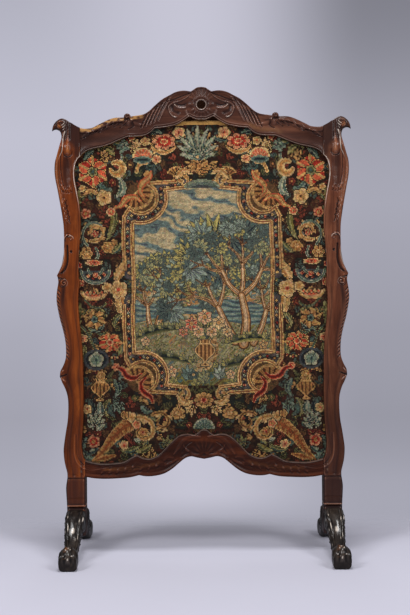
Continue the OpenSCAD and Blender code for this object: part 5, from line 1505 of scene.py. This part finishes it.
border = stitched_cloth("needlework_border_stitched", 0, lambda x, z: in_leaf(x, z) & ~in_centre(x, z), paint_border)
centre = stitched_cloth("needlework_centre_stitched", 1, in_centre, paint_centre)
dress(border, "leaf", "wool_border", stitched("border wool", STITCH * MM), "needlework_border")
dress(centre, "leaf", "wool_centre", stitched("fine wool and silk", STITCH / 2 * MM), "needlework_centre")

# The floor, which fades into the pale room behind the screen
FLOOR_RADIUS, FADE_FROM, FADE_TO = 2.6, 0.2, 0.52
ground = bmesh.new()
bmesh.ops.create_circle(ground, cap_ends=True, segments=96, radius=FLOOR_RADIUS)
floor_mesh = bpy.data.meshes.new("floor")
ground.to_mesh(floor_mesh)
ground.free()
floor = bpy.data.objects.new("floor", floor_mesh)
bpy.context.scene.collection.objects.link(floor)
f = Finish("pale floor", Roughness=0.8, Specular_IOR_Level=0.1)
spot = f.place()
depth = f.node("ShaderNodeSeparateXYZ", {}, {0: spot}, "Y")
f.colour(f.mix(f.noise(spot, 3), four(shade(193, 192, 206)), four(shade(197, 196, 210))))
far = f.node("ShaderNodeVectorMath", {"operation": "LENGTH"}, {0: spot}, "Value")
shown = (1 - depth.above(FADE_FROM, FADE_TO)) * (1 - far.above(1.0, 2.3))
f.links.new(shown.socket, f.shader.inputs["Alpha"])
floor_mesh.materials.append(f.material)

# The room: soft light on the screen, and a pale lavender wall for the camera with painted light and shade on it,
# darkening towards its right side
world = bpy.data.worlds.new("room")
world.use_nodes = True
bpy.context.scene.world = world


class Room(Finish):
    """The world's nodes, built with the same calls as a finish."""

    def __init__(self, tree):
        self.nodes, self.links = tree.nodes, tree.links


# Brightness of the wall by how far the line of sight rises, from steeply down to steeply up: painted light and shade,
# with the screen's soft shadow painted as the darker band low down
WALL = [(0.02, 168), (0.23, 170), (0.33, 162), (0.46, 170), (0.54, 179), (0.66, 191), (0.77, 193), (0.86, 187),
        (0.98, 177)]
AMBIENT = 0.24
room = Room(world.node_tree)
look = room.node("ShaderNodeTexCoord", output="Generated")
right, up = (room.node("ShaderNodeSeparateXYZ", {}, {0: look}, axis) for axis in "XZ")
wall = room.node("ShaderNodeValToRGB", {"stops": [(place, shade(v, v, 1.078 * v)) for place, v in WALL]},
                 {0: (1.786 * up + 0.5).clamp()})
# Painted shade: the wall darker towards its right side, more so higher up
dusk = right.above(-0.06, 0.15) * (0.04 + 0.09 * up.above(-0.17, -0.11) + 0.12 * up.above(-0.08, 0.1)
                                   + 0.26 * up.above(0.08, 0.27))
wall = room.mix(dusk, wall, (0, 0, 0, 1))
# A painted pool of light on the wall, low down behind the screen, where light passes under the apron
aside = room.node("ShaderNodeMath", {"operation": "ABSOLUTE"}, {0: right + 0.012})
patch = up.above(-0.192, -0.16) * (1 - aside.above(0.0, 0.15)) * 0.95
wall = room.mix(patch, wall, four(shade(199, 198, 213)))
seen = room.node("ShaderNodeLightPath", output="Is Camera Ray")
shown = room.mix(seen, (AMBIENT, AMBIENT, AMBIENT * 1.06, 1), wall)
room.links.new(shown.socket, world.node_tree.nodes["Background"].inputs["Color"])


def lamp(name, place, aim, power, height):
    """A soft upright lamp that faces a point."""
    data = bpy.data.lights.new(name, "AREA")
    data.shape = "RECTANGLE"
    data.energy, data.size, data.size_y = power, 0.8, height
    light = bpy.data.objects.new(name, data)
    light.location = place
    light.rotation_euler = (Vector(aim) - Vector(place)).to_track_quat("-Z", "Y").to_euler()
    bpy.context.scene.collection.objects.link(light)


lamp("left key", (-1.63, -2.24, 2.1), (0, 0, 0.5), 44, 1.3)
lamp("right key", (1.63, -2.24, 2.1), (0, 0, 0.5), 40, 1.3)
lamp("top", (0, -0.7, 2.9), (0, 0, 0.6), 38, 0.8)
lamp("back", (0, 2.0, 2.7), (0, 0, 0.5), 9, 1.0)

# The camera, level and turned by half a degree, at the photograph's distance
LENS, CAMERA_PLACE, ROLL = 66.06, (0.005, -2.75, 0.595), -0.5
camera_data = bpy.data.cameras.new("camera")
camera_data.lens = LENS
camera_data.sensor_width = 36
camera = bpy.data.objects.new("camera", camera_data)
camera.location = CAMERA_PLACE
camera.rotation_euler = (rotation("X", 90) @ rotation("Z", ROLL)).to_euler()
bpy.context.scene.collection.objects.link(camera)
bpy.context.scene.camera = camera
bpy.context.scene.view_settings.view_transform = "Standard"

bpy.context.view_layer.update()
